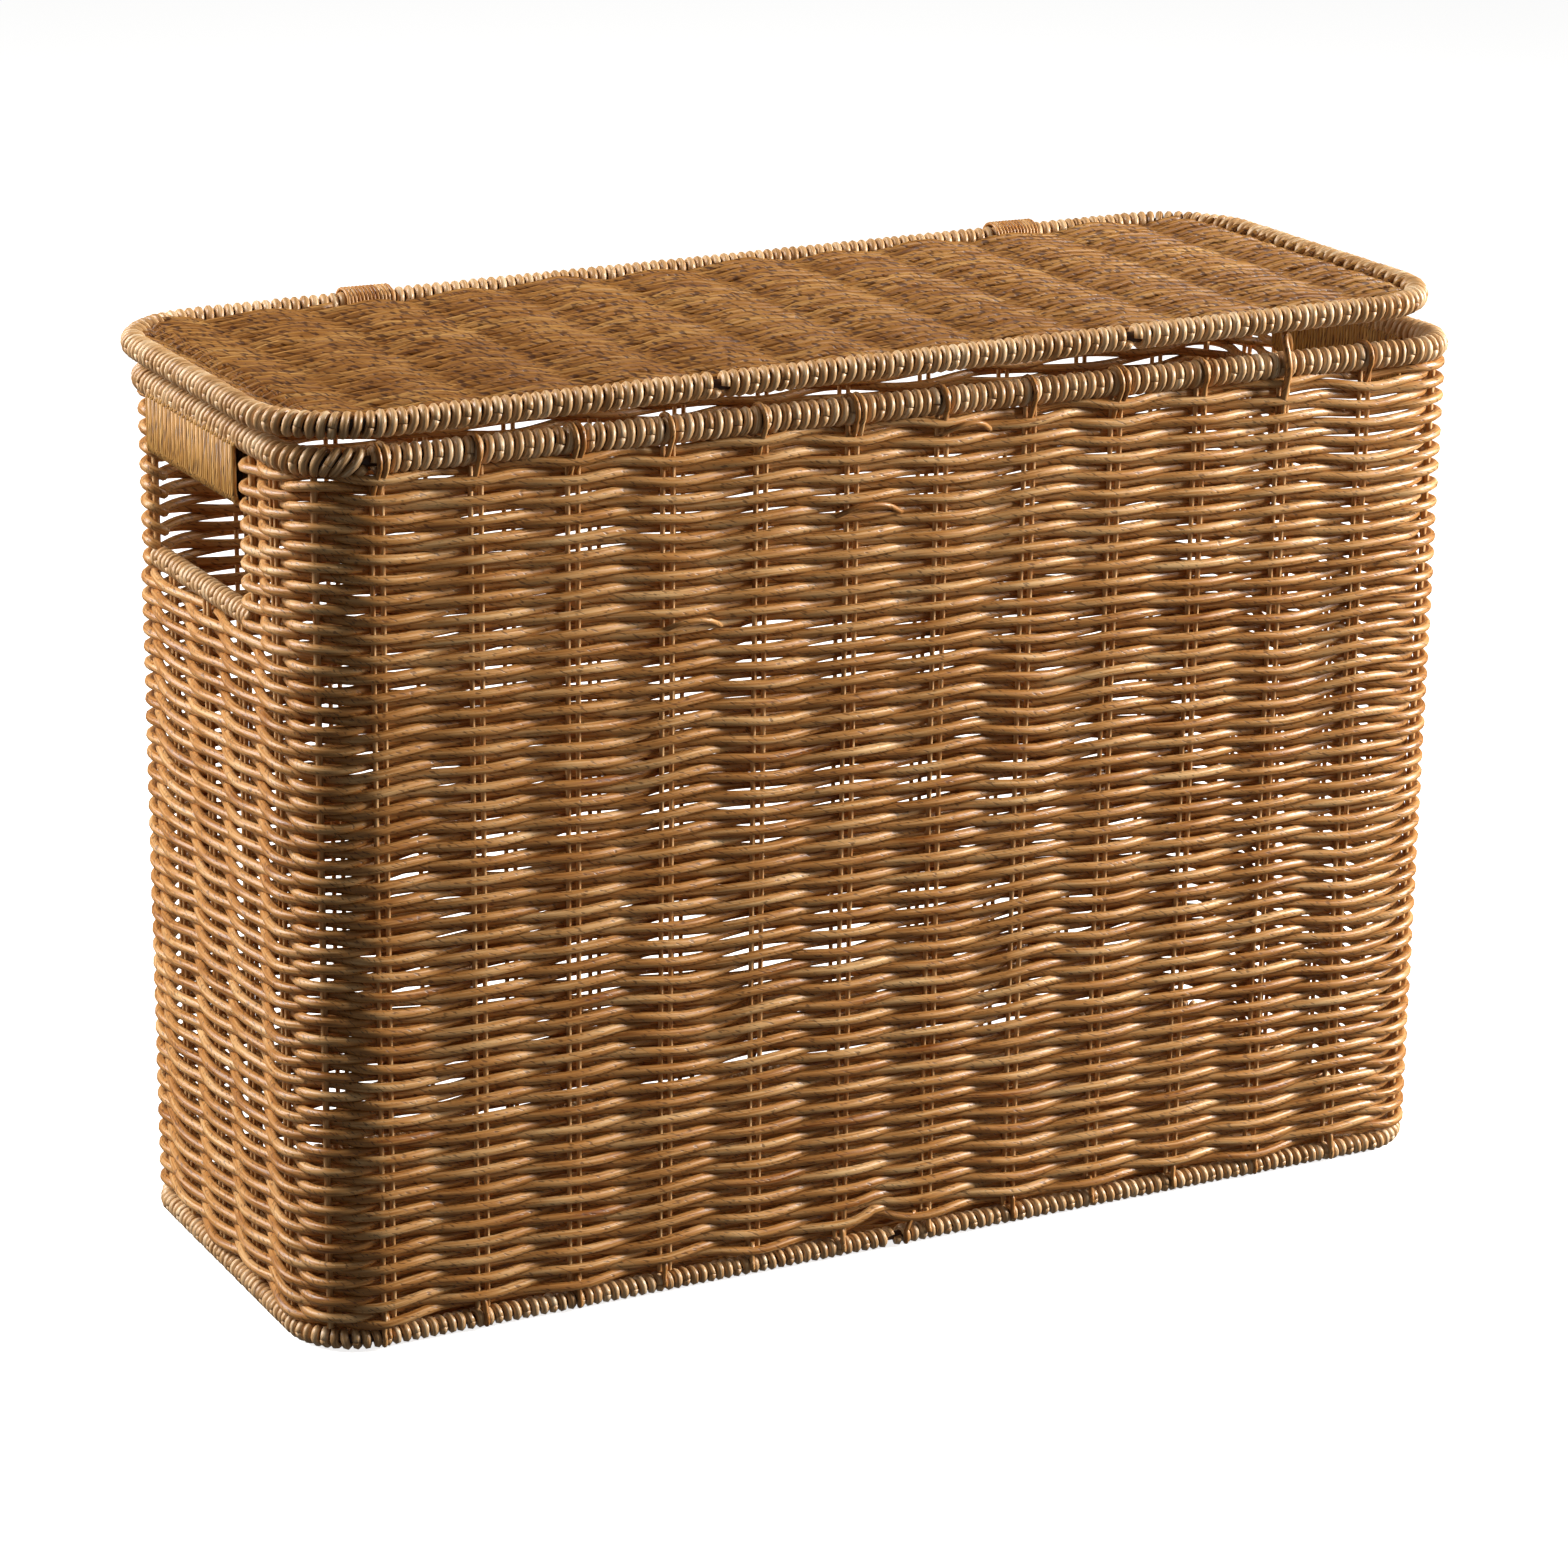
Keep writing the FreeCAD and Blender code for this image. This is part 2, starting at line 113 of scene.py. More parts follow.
hinge_joint = frame["joints"][0]
hinge_axis = Vector(hinge_joint["axis"])
hinge_point = Vector(hinge_joint["pos_m"])
lid_centre = middle("lid_rod")
LID_HALF_X = (extent("lid_rod").x - LID_ROD) / 2
LID_ROLL = math.atan2(hinge_axis.z, hinge_axis.x) + math.pi
LID_PITCH = math.atan2(hinge_point.z - lid_centre.z, hinge_point.y - lid_centre.y)
LID_HALF_Y = (hinge_point - lid_centre).length
LID_PLACE = (
    Matrix.Translation(lid_centre)
    @ Matrix.Rotation(-LID_ROLL, 4, "Y")
    @ Matrix.Rotation(LID_PITCH, 4, "X")
)
LID_RADIUS = 6.25 * MM            # of the wrap on its rail
UPRIGHT = Matrix.Identity(4)
HALF_TURN = Matrix.Rotation(math.pi, 4, "Z")

rim_loop = (HALF_X, HALF_Y, CORNER)
lid_loop = (LID_HALF_X, LID_HALF_Y, LID_CORNER)

# How finely the canes are drawn.
WEAVE_STEPS = 8                   # points of a woven cane from one stake pair to the next
RETURN_STEPS = 6                  # steps of a cane round a handle post
TURN_STEPS = 14                   # points of one turn on a rail or sill
BAND_STEPS = 12                   # points of one turn on a handle
LASHING_STEPS = 16                # points of one turn in a hinge
RAIL_TONE_TURNS = 3               # turns on a rail that share one shade
BAND_TONE_TURNS = 2               # turns on a handle that share one shade


# ------------------------------------------------------------ colours and settings

def linear(code):
    """A linear RGB triple from an sRGB hex code."""
    parts = [int(code[i:i + 2], 16) / 255 for i in (1, 3, 5)]
    return [p / 12.92 if p <= 0.04045 else ((p + 0.055) / 1.055) ** 2.4 for p in parts]


def length_prop(name, description, default):
    """A length setting, in metres."""
    return bpy.props.FloatProperty(
        name=name, description=description, default=default, unit="LENGTH", precision=5
    )


def colour_prop(name, description, code):
    """A colour setting, from an sRGB hex code."""
    return bpy.props.FloatVectorProperty(
        name=name, description=description, default=linear(code), subtype="COLOR", min=0, max=1
    )


class HamperSizes(bpy.types.PropertyGroup):
    """Thickness and spacing of the canes"""

    wall_cane: length_prop("Wall cane", "Diameter of the cane woven in the walls", 4.65 * MM)
    rail_cane: length_prop("Rail cane", "Diameter of the cane wound on rim and lid rail", 4.1 * MM)
    rail_pitch: length_prop("Rail pitch", "Advance of each turn on rim and lid rail", 4.84 * MM)
    base_cane: length_prop("Base cane", "Diameter of the cane wound on the base rail", 4.1 * MM)
    base_pitch: length_prop("Base pitch", "Advance of each turn on the base rail", 4.58 * MM)
    band_cane: length_prop("Band cane", "Diameter of the cane wound on the handles", 2.7 * MM)
    band_pitch: length_prop("Band pitch", "Advance of each turn on the handles", 2.55 * MM)
    lid_cane: length_prop("Lid cane", "Diameter of the cane woven in the lid", 3.5 * MM)
    tie_cane: length_prop("Tie cane", "Diameter of the strands tied over the rim", 2.5 * MM)
    row_pitch: length_prop("Row pitch", "Height of one row of weave", 4.36 * MM)
    wander: length_prop("Wander", "How far a row strays from level", 2.0 * MM)
    slack: length_prop("Slack", "Room between a stake and the cane that passes it", 0.2 * MM)
    lift: length_prop("Lift", "How far a row rises where it passes outside a stake", 0.4 * MM)
    crowding: length_prop("Crowding", "How far the end rows arch towards rim and base", 2.6 * MM)
    lashing_cane: length_prop("Lashing cane", "Diameter of the strand in the hinges", 1.7 * MM)


class HamperColours(bpy.types.PropertyGroup):
    """Colours of the canes, the wire and the floor"""

    wall_pale: colour_prop("Wall, pale", "Lightest streaks of the wall cane", "#E3B980")
    wall_tan: colour_prop("Wall, tan", "Body colour of the wall cane", "#C08748")
    wall_brown: colour_prop("Wall, brown", "Darkest streaks of the wall cane", "#864B12")
    rail_pale: colour_prop("Rail, pale", "Lightest streaks of the rail cane", "#F8E2BE")
    rail_tan: colour_prop("Rail, tan", "Body colour of the rail cane", "#D0A470")
    rail_brown: colour_prop("Rail, brown", "Darkest streaks of the rail cane", "#80501F")
    lid_pale: colour_prop("Lid, pale", "Lightest streaks of the lid cane", "#C89A58")
    lid_tan: colour_prop("Lid, tan", "Body colour of the lid cane", "#A06C2E")
    lid_brown: colour_prop("Lid, brown", "Darkest streaks of the lid cane", "#6A3C12")
    band_pale: colour_prop("Handle, pale", "Lightest streaks of the handle cane", "#D8AC62")
    band_tan: colour_prop("Handle, tan", "Body colour of the handle cane", "#C08C42")
    band_brown: colour_prop("Handle, brown", "Darkest streaks of the handle cane", "#7E4C14")
    # Partly dark specks of the cane, partly painted shade in the twist.
    fleck_and_twist_shade: colour_prop("Fleck", "Burnt specks and the shadow in the twist of the cane", "#4A260A")
    wire: colour_prop("Wire enamel", "Colour of the enamelled wire", "#4A2A12")
    floor: colour_prop("Floor", "Colour of the studio floor", "#F4F4F3")


# ------------------------------------------------------------ lines that canes follow

def around(loop, distance):
    """Point and outward direction on a rounded rectangle, that far round from its front middle."""
    half_x, half_y, radius = loop
    bend = radius * math.pi / 2
    straights = (2 * (half_x - radius), 2 * (half_y - radius))
    whole = 2 * sum(straights) + 4 * bend
    rest = (distance + straights[0] / 2) % whole
    for quarter in range(4):
        run = straights[quarter % 2]
        reach = (half_y, half_x)[quarter % 2]
        turn = Matrix.Rotation(quarter * math.pi / 2, 3, "Z")
        if rest <= run:
            return turn @ Vector((rest - run / 2, -reach, 0)), turn @ Vector((0, -1, 0))
        rest -= run
        if rest <= bend:
            angle = rest / radius
            out = Vector((math.sin(angle), -math.cos(angle), 0))
            return turn @ (Vector((run / 2, radius - reach, 0)) + radius * out), turn @ out
        rest -= bend
    return around(loop, 0)


def length_round(loop):
    """Distance all the way round a rounded rectangle."""
    half_x, half_y, radius = loop
    return 4 * (half_x + half_y - 2 * radius) + 2 * math.pi * radius


def end_distance(y):
    """Distance round the rim to a place on the right wall; the left wall's is minus this."""
    return HALF_X - CORNER + CORNER * math.pi / 2 + y + HALF_Y - CORNER


def evenly(first, last, count):
    """Evenly spaced values, both ends among them."""
    return [first + (last - first) * index / (count - 1) for index in range(count)]


def pair_places(node, axis, count):
    """Middles of the stake pairs in a node, along one axis."""
    low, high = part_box(node)
    edge = PAIR_HALF + STAKE / 2
    return evenly(low[axis] + edge, high[axis] - edge, count)


front_pairs = pair_places("front_stakes", 0, WALL_PAIRS)
left_pairs = pair_places("left_stakes", 1, END_PAIRS)
corner_post = HALF_X - CORNER + CORNER * math.pi / 4


def ring_crossings():
    """Distances round the walls at which a row crosses a stake pair or post."""
    half = [-end_distance(y) for y in reversed(left_pairs)]
    half += [-corner_post] + front_pairs + [corner_post]
    turn = length_round(rim_loop) / 2
    return half + [place + turn for place in half]


def run_crossings():
    """The same for a row that runs from handle post to handle post past the front."""
    return (
        [-end_distance(FRONT_POST), -end_distance(left_pairs[0]), -corner_post]
        + front_pairs
        + [corner_post, end_distance(-BACK_POST)]
    )


def wave(crossings, sign):
    """Distances and sideways shares (-1 to 1) of a cane that passes crossings on alternate sides.

    sign is the side on which it passes the first one.
    """
    path = []
    for index in range(len(crossings) - 1):
        start, end = crossings[index], crossings[index + 1]
        for step in range(WEAVE_STEPS):
            share = step / WEAVE_STEPS
            path.append((start + (end - start) * share, sign * math.cos(math.pi * share)))
        sign = -sign
    return path + [(crossings[-1], sign)]


def ripple(distance, seed):
    """A smooth, seeded wobble between about -1 and 1 that repeats every turn round the walls."""
    whole = length_round(rim_loop)
    chance = random.Random(seed)
    waves_round = (3, 7, 13, 22)
    total = 0.0
    for waves in waves_round:
        total += math.sin(2 * math.pi * (waves * distance / whole + chance.random()))
    return total / len(waves_round)


# ------------------------------------------------------------ canes

def cane_mesh(name, lines, diameter, seed, rounds=2, closed=False):
    """A mesh of round canes along lines of points, with open ends that add_piece closes.

    The UV map runs along each cane and round it in metres, and the tone attribute
    gives each cane its own shade.
    """
    curve = bpy.data.curves.new(name, "CURVE")
    curve.dimensions = "3D"
    curve.bevel_depth = diameter / 2
    curve.bevel_resolution = rounds
    for line in lines:
        spline = curve.splines.new("POLY")
        spline.points.add(len(line) - 1)
        spline.points.foreach_set("co", [value for p in line for value in (p[0], p[1], p[2], 1)])
        spline.use_cyclic_u = closed
    holder = bpy.data.objects.new(name, curve)
    mesh = bpy.data.meshes.new_from_object(holder)
    bpy.data.objects.remove(holder)
    sides = 4 + 2 * rounds
    if len(mesh.vertices) != sides * sum(len(line) for line in lines):
        raise RuntimeError(name + ": the canes don't have the expected points")
    chance = random.Random(seed)
    tones = [chance.random() for line in lines]
    tone = mesh.attributes.new("tone", "FLOAT", "POINT")
    tone.data.foreach_set("value", np.repeat(tones, [sides * len(line) for line in lines]))
    scale_uv(mesh, lines, sides, diameter, closed)
    mesh.name = name
    return mesh


def scale_uv(mesh, lines, sides, diameter, closed):
    """Turns the curve's UV map from shares of a cane into metres."""
    layer = mesh.uv_layers[0]
    values = np.zeros(2 * len(layer.data), np.float32)
    layer.data.foreach_get("uv", values)
    values = values.reshape(-1, 2)
    runs = []
    for line in lines:
        points = np.array(line, float)[:, :3]
        runs.append(np.linalg.norm(np.diff(points, axis=0), axis=1).sum())
    corners = [4 * sides * (len(line) - (0 if closed else 1)) for line in lines]
    starts = np.cumsum([0.0] + runs[:-1])
    values[:, 0] = values[:, 0] * np.repeat(runs, corners) + np.repeat(starts, corners)
    values[:, 1] *= math.pi * diameter
    layer.data.foreach_set("uv", values.ravel())


def add_piece(name, mesh, body, material, place=UPRIGHT, nodes=()):
    """Makes a mesh a piece that rides on a CAD body and stands for CAD nodes."""
    if place is not UPRIGHT:
        mesh.transform(place)
    close_ends(mesh)
    mesh.materials.clear()
    mesh.materials.append(material)
    piece = bpy.data.objects.new(name, mesh)
    bpy.context.scene.collection.objects.link(piece)
    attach(piece, body)
    if nodes:
        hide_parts(*nodes)
    return piece


def close_ends(mesh):
    """Fills the open ends of the canes."""
    shape = bmesh.new()
    shape.from_mesh(mesh)
    open_edges = [edge for edge in shape.edges if edge.is_boundary]
    if open_edges:
        bmesh.ops.holes_fill(shape, edges=open_edges, sides=0)
    shape.to_mesh(mesh)
    shape.free()


def joined(name, meshes):
    """One mesh from several."""
    whole = bmesh.new()
    for mesh in meshes:
        whole.from_mesh(mesh)
    mesh = bpy.data.meshes.new(name)
    whole.to_mesh(mesh)
    whole.free()
    return mesh


def winding(loop, height, start, end, radius, pitch, sense, seed, lean=None, upright=0.0):
    """A cane wound round a rail along part of a rounded rectangle.

    sense is 1 where the cane rises to the right on its outer side, and -1 where it falls.
    lean gives how far each turn's top is drawn sideways at a distance. upright is the share
    of the advance that moves from the outer side of a turn to its inner side.
    """
    chance = random.Random(seed)
    turns = max(1, round((end - start) / pitch))
    stray = 0.12 * pitch
    line = []
    drift = 0.0
    for turn in range(turns):
        # Each turn strays a little, and takes over part of its neighbour's straying.
        drift = 0.6 * drift + chance.uniform(-stray, stray)
        swell = 1 + chance.uniform(-0.02, 0.035)
        for step in range(TURN_STEPS):
            angle = 2 * math.pi * step / TURN_STEPS
            advance = step / TURN_STEPS - upright * math.sin(angle) / (2 * math.pi)
            distance = start + (end - start) * (turn + advance) / turns + drift * 0.6
            tilt = lean(distance) if lean else 0.0
            point, out = around(loop, distance + tilt * math.sin(angle) * radius)
            up = Vector((0, 0, height + sense * radius * swell * math.sin(angle)))
            line.append(point + out * radius * swell * math.cos(angle) + up)
    return line


# ------------------------------------------------------------ materials

CANE_IOR = 1.49                   # polypropylene


def node(tree, kind, settings=(), links=(), values=()):
    """Adds a node, sets its properties and socket values, and links its inputs."""
    made = tree.nodes.new(kind)
    for name, value in dict(settings).items():
        setattr(made, name, value)
    for name, value in dict(values).items():
        made.inputs[name].default_value = value
    for name, source in dict(links).items():
        tree.links.new(source, made.inputs[name])
    return made


def new_material(name):
    """A material with its node tree and its shader."""
    material = bpy.data.materials.new(name)
    material.use_nodes = True
    tree = material.node_tree
    return material, tree, tree.nodes["Principled BSDF"]


def set_ramp(ramp, stops):
    """Gives a colour ramp its stops, as (place, grey or RGB)."""
    while len(ramp.elements) < len(stops):
        ramp.elements.new(0.5)
    for element, (place, colour) in zip(ramp.elements, stops):
        rgb = [colour] * 3 if isinstance(colour, (int, float)) else list(colour)
        element.position = place
        element.color = (*rgb, 1)


def stretched_noise(tree, place, length, width, angle, detail):
    """Noise whose grains are that long and wide, in metres, turned by an angle to the cane."""
    turned = node(
        tree, "ShaderNodeMapping", {"vector_type": "TEXTURE"}, {"Vector": place},
        {"Scale": (length, width, 1), "Rotation": (0, 0, angle)},
    )
    return node(
        tree, "ShaderNodeTexNoise", links={"Vector": turned.outputs["Vector"]},
        values={"Scale": 1.0, "Detail": detail},
    ).outputs["Fac"]


def weighted(tree, source, weight, rest):
    """source * weight + rest, where rest is a number or another output."""
    made = node(tree, "ShaderNodeMath", {"operation": "MULTIPLY_ADD"}, {0: source}, {1: weight})
    if isinstance(rest, (int, float)):
        made.inputs[2].default_value = rest
    else:
        tree.links.new(rest, made.inputs[2])
    return made.outputs[0]


def cane_material(name, palette, tone_spread, fleck_size, fleck_start, fleck_share, roughness):
    """Extruded polypropylene cane: two colours of melt drawn out into long streaks.

    The drawing leaves fine grooves along the cane, so highlights run in broken lines.
    A slight twist leaves slanting flecks, mixed in dark: partly dark specks of the cane and partly
    painted shade in the grooves of the twist.
    """
    colours = bpy.context.scene.hamper_colours
    brown, tan, pale = (
        getattr(colours, palette + "_" + shade) for shade in ("brown", "tan", "pale")
    )
    material, tree, shader = new_material(name)
    place = node(tree, "ShaderNodeUVMap").outputs["UV"]
    tone = node(tree, "ShaderNodeAttribute", {"attribute_name": "tone"}).outputs["Fac"]
    fleck_angle = 0.5
    streaks = stretched_noise(tree, place, length=25 * MM, width=1 * MM, angle=0, detail=3)
    patches = stretched_noise(tree, place, length=45 * MM, width=12 * MM, angle=0, detail=2)
    flecks = stretched_noise(
        tree, place, length=fleck_size, width=fleck_size / 3.5, angle=fleck_angle, detail=1
    )
    # The noises average 0.5, so this rest brings the sum of all three to 0.5 as well.
    level = weighted(tree, tone, tone_spread, -0.25 - tone_spread / 2)
    level = weighted(tree, patches, 0.6, level)
    level = weighted(tree, streaks, 0.9, level)
    ramp = node(tree, "ShaderNodeValToRGB", links={"Fac": level})
    set_ramp(ramp.color_ramp, [(0.2, brown), (0.5, tan), (0.8, pale)])
    fleck_and_shade_mask = node(tree, "ShaderNodeMapRange", links={"Value": flecks})
    fleck_and_shade_mask.inputs["From Min"].default_value = fleck_start
    fleck_and_shade_mask.inputs["From Max"].default_value = fleck_start + 0.1
    fleck_and_shade_mask.inputs["To Max"].default_value = fleck_share
    # Darkens the flecks in the colour: dark specks, and painted shade in the twist's grooves, which
    # the relief below also cuts.
    colour = node(
        tree, "ShaderNodeMix", {"data_type": "RGBA"},
        {0: fleck_and_shade_mask.outputs["Result"], 6: ramp.outputs["Color"]}, {7: (*colours.fleck_and_twist_shade, 1)},
    )
    rough = weighted(tree, streaks, 0.4, roughness - 0.2)
    relief = weighted(tree, fleck_and_shade_mask.outputs["Result"], -0.6, streaks)
    bump = node(
        tree, "ShaderNodeBump", links={"Height": relief},
        values={"Strength": 0.6, "Distance": 0.3 * MM},
    )
    tree.links.new(colour.outputs[2], shader.inputs["Base Color"])
    tree.links.new(rough, shader.inputs["Roughness"])
    tree.links.new(bump.outputs["Normal"], shader.inputs["Normal"])
    shader.inputs["IOR"].default_value = CANE_IOR
    return material


def grained_material(name, scale, detail, stops, roughness, strength, depth):
    """A finish whose colour, roughness and relief follow one noise that is fixed to the object.

    scale is the number of grains to a metre along X, Y and Z, and roughness has two ends.
    """
    material, tree, shader = new_material(name)
    place = node(tree, "ShaderNodeTexCoord").outputs["Object"]
    scaled = node(tree, "ShaderNodeMapping", links={"Vector": place}, values={"Scale": scale})
    grain = node(
        tree, "ShaderNodeTexNoise", links={"Vector": scaled.outputs["Vector"]},
        values={"Scale": 1.0, "Detail": detail},
    ).outputs["Fac"]
    ramp = node(tree, "ShaderNodeValToRGB", links={"Fac": grain})
    set_ramp(ramp.color_ramp, stops)
    rough = node(
        tree, "ShaderNodeMapRange", links={"Value": grain},
        values={"To Min": roughness[0], "To Max": roughness[1]},
    )
    bump = node(
        tree, "ShaderNodeBump", links={"Height": grain},
        values={"Strength": strength, "Distance": depth},
    )
    tree.links.new(ramp.outputs["Color"], shader.inputs["Base Color"])
    tree.links.new(rough.outputs["Result"], shader.inputs["Roughness"])
    tree.links.new(bump.outputs["Normal"], shader.inputs["Normal"])
    return material, shader


def stake_material(name):
    """The same cane on straight stakes, whose streaks run up Z or along Y, ramped paler than the
    woven cane: painted light on stakes that the canes shade.
    """
    colours = bpy.context.scene.hamper_colours
    # Pale comes sooner on this ramp than on the woven cane's: painted light, so the stakes look lit
    # where the woven canes shade them.
    stops = [(0.25, colours.wall_brown), (0.4, colours.wall_tan), (0.6, colours.wall_pale)]
    material, shader = grained_material(
        name, (900, 60, 60), 3.0, stops, roughness=(0.35, 0.6), strength=0.4, depth=0.2 * MM
    )
    shader.inputs["IOR"].default_value = CANE_IOR
    return material


def wire_material(name):
    """Brown stoving enamel on drawn steel wire: glossy, with a faint orange peel."""
    colour = bpy.context.scene.hamper_colours.wire
    stops = [(0.35, [value * 0.7 for value in colour]), (0.65, colour)]
    return grained_material(
        name, (700, 700, 700), 2.0, stops, roughness=(0.4, 0.4), strength=0.2, depth=0.05 * MM
    )[0]


def floor_material(name):
    """Seamless studio paper: matt, with a very slight fibre mottle."""
    colour = bpy.context.scene.hamper_colours.floor
    stops = [(0.4, [value * 0.985 for value in colour]), (0.6, colour)]
    material, shader = grained_material(
        name, (250, 250, 250), 2.0, stops, roughness=(0.9, 0.9), strength=0.1, depth=0.1 * MM
    )
    shader.inputs["Emission Color"].default_value = (1, 1, 1, 1)
    shader.inputs["Emission Strength"].default_value = 0.8
    return material


# Palette, how far canes differ in shade, length of the flecks, noise level at which they
# start, how dark they are, and roughness.
CANE_FINISHES = {
    "polypropylene wall cane": ("wall", 0.16, 4 * MM, 0.57, 0.65, 0.36),
    "polypropylene rail cane": ("rail", 0.12, 3 * MM, 0.64, 0.5, 0.36),
    "polypropylene lid cane": ("lid", 0.10, 5 * MM, 0.52, 0.85, 0.46),
    "polypropylene handle cane": ("band", 0.05, 3.2 * MM, 0.53, 0.75, 0.5),
}
OTHER_FINISHES = {
    "polypropylene stake cane": stake_material,
    "brown stoving enamel": wire_material,
    "seamless studio paper": floor_material,
}


def material_of(name):
    """Finds a finish by name, and makes it the first time."""
    found = bpy.data.materials.get(name)
    if found:
        return found
    if name in CANE_FINISHES:
        return cane_material(name, *CANE_FINISHES[name])
    return OTHER_FINISHES[name](name)


# ------------------------------------------------------------ walls

def wall_point(distance, share, height, row):
    """A point of a wall row: share is how far out (1) or in (-1) the cane is pushed."""
    sizes = bpy.context.scene.hamper_sizes
    point, out = around(rim_loop, distance)
    slack_seed = 500 + row
    push = (STAKE + sizes.wall_cane) / 2 + sizes.slack * (1 + ripple(distance, slack_seed))
    # Neighbouring rows stray together, in waves 200 and 270 mm high, and a little on their own.
    shared = ripple(distance, 9) * math.sin(height * 31)
    shared += ripple(distance, 8) * math.cos(height * 23)
    sag = sizes.wander * (shared + 0.3 * ripple(distance, row)) + sizes.lift * share
    arch = crowding_at(distance, height)
    return point + out * share * push + Vector((0, 0, height + sag + arch))


def crowding_at(distance, height):
    """How far a row is pushed up between stakes near the rim and base, and above the base join."""
    sizes = bpy.context.scene.hamper_sizes
    spacing = front_pairs[1] - front_pairs[0]
    between = (1 - math.cos(2 * math.pi * (distance - front_pairs[0]) / spacing)) / 2
    fade = 12 * MM
    under_rim = math.exp((height - WALL_TOP) / fade)
    over_base = math.exp((WALL_BOTTOM - height) / fade)
    gap_reach = 9 * MM
    from_gap = (distance - (BASE_JOIN - gap_reach)) / gap_reach
    at_join = 2.2 * math.exp(-from_gap ** 2) * over_base
    return sizes.crowding * (between * (under_rim + 0.7 * over_base) + at_join)


def row_heights():
    """Heights of the middles of all the rows, and how many pass under the handles."""
    sizes = bpy.context.scene.hamper_sizes
    first = WALL_BOTTOM + 0.56 * sizes.wall_cane
    last = WALL_TOP - sizes.crowding
    count = round((last - first) / sizes.row_pitch) + 1
    heights = evenly(first, last, count)
    rings = sum(height + sizes.wall_cane / 2 < SILL_UNDERSIDE for height in heights)
    return heights, rings


def side_of(row):
    """The side on which a row passes its first crossing: rows alternate."""
    return 1 if row % 2 else -1


def ring_row(row, height):
    """One closed row all the way round."""
    crossings = ring_crossings()
    crossings.append(crossings[0] + length_round(rim_loop))
    path = wave(crossings, side_of(row))[:-1]
    return [wall_point(distance, share, height, row) for distance, share in path]


def run_rows(heights, first_row):
    """One cane that goes back and forth between the handle posts, past the front."""
    sizes = bpy.context.scene.hamper_sizes
    crossings = run_crossings()
    reach = (POST + sizes.wall_cane) / 2
    line = []
    for index, height in enumerate(heights):
        row = first_row + index
        # Counted from the handle post, the crossings fall in step with a ring's, so the
        # rows go on alternating above the sill.
        path = wave(crossings, side_of(row))
        forward = index % 2 == 0
        if not forward:
            path.reverse()
        line += [wall_point(distance, share, height, row) for distance, share in path]
        if index + 1 == len(heights):
            break
        distance, share = path[-1]
        way = 1 if forward else -1
        rise = heights[index + 1] - height
        for step in range(1, RETURN_STEPS):
            angle = math.pi * step / RETURN_STEPS
            past = distance + way * reach * math.sin(angle)
            level = height + rise * step / RETURN_STEPS
            line.append(wall_point(past, share * math.cos(angle), level, row))
    return line


CORNERS = ("front_left", "front_right", "back_left", "back_right")


class HAMPER_OT_walls(bpy.types.Operator):
    """Weave the walls, row by row, round stakes and corner posts"""

    bl_idname = "hamper.walls"
    bl_label = "Weave the walls"

    def execute(self, context):
        sizes = context.scene.hamper_sizes
        cane = material_of("polypropylene wall cane")
        heights, rings = row_heights()
        thirds = [0, rings // 3, 2 * rings // 3, rings]
        stood_for = [
            ("front_weave", "back_weave"),
            ("left_weave", "right_weave"),
            tuple("corner_weave_" + corner for corner in CORNERS),
        ]
        names = ("wall_weave_low", "wall_weave_middle", "wall_weave_high")
        for name, start, end, nodes in zip(names, thirds[:-1], thirds[1:], stood_for):
            lines = [ring_row(row, heights[row]) for row in range(start, end)]
            mesh = cane_mesh(name, lines, sizes.wall_cane, seed=start + 1, closed=True)
            add_piece(name, mesh, "basket", cane, nodes=nodes)
        run = run_rows(heights[rings:], rings)
        for name, nodes, place in (
            ("top_weave_front", ("left_cheek_weave", "left_post_wraps"), UPRIGHT),
            ("top_weave_back", ("right_cheek_weave", "right_post_wraps"), HALF_TURN),
        ):
            mesh = cane_mesh(name, [run], sizes.wall_cane, seed=77)
            add_piece(name, mesh, "basket", cane, place, nodes)
        return {"FINISHED"}


def split(line, count):
    """A long line as shorter ones that share their end points, so that each has its own tone."""
    return [line[start:start + count + 1] for start in range(0, len(line) - 1, count)]


def shades(line):
    """A winding on a rail, split every few turns."""
    return split(line, RAIL_TONE_TURNS * TURN_STEPS)


# ------------------------------------------------------------ rails

def corner_lean(distance):
    """The rim's turns lie over to the right just past the front left corner."""
    centre = front_pairs[0] - 14 * MM
    reach = 11 * MM
    return 0.55 * math.exp(-((distance - centre) / reach) ** 2)


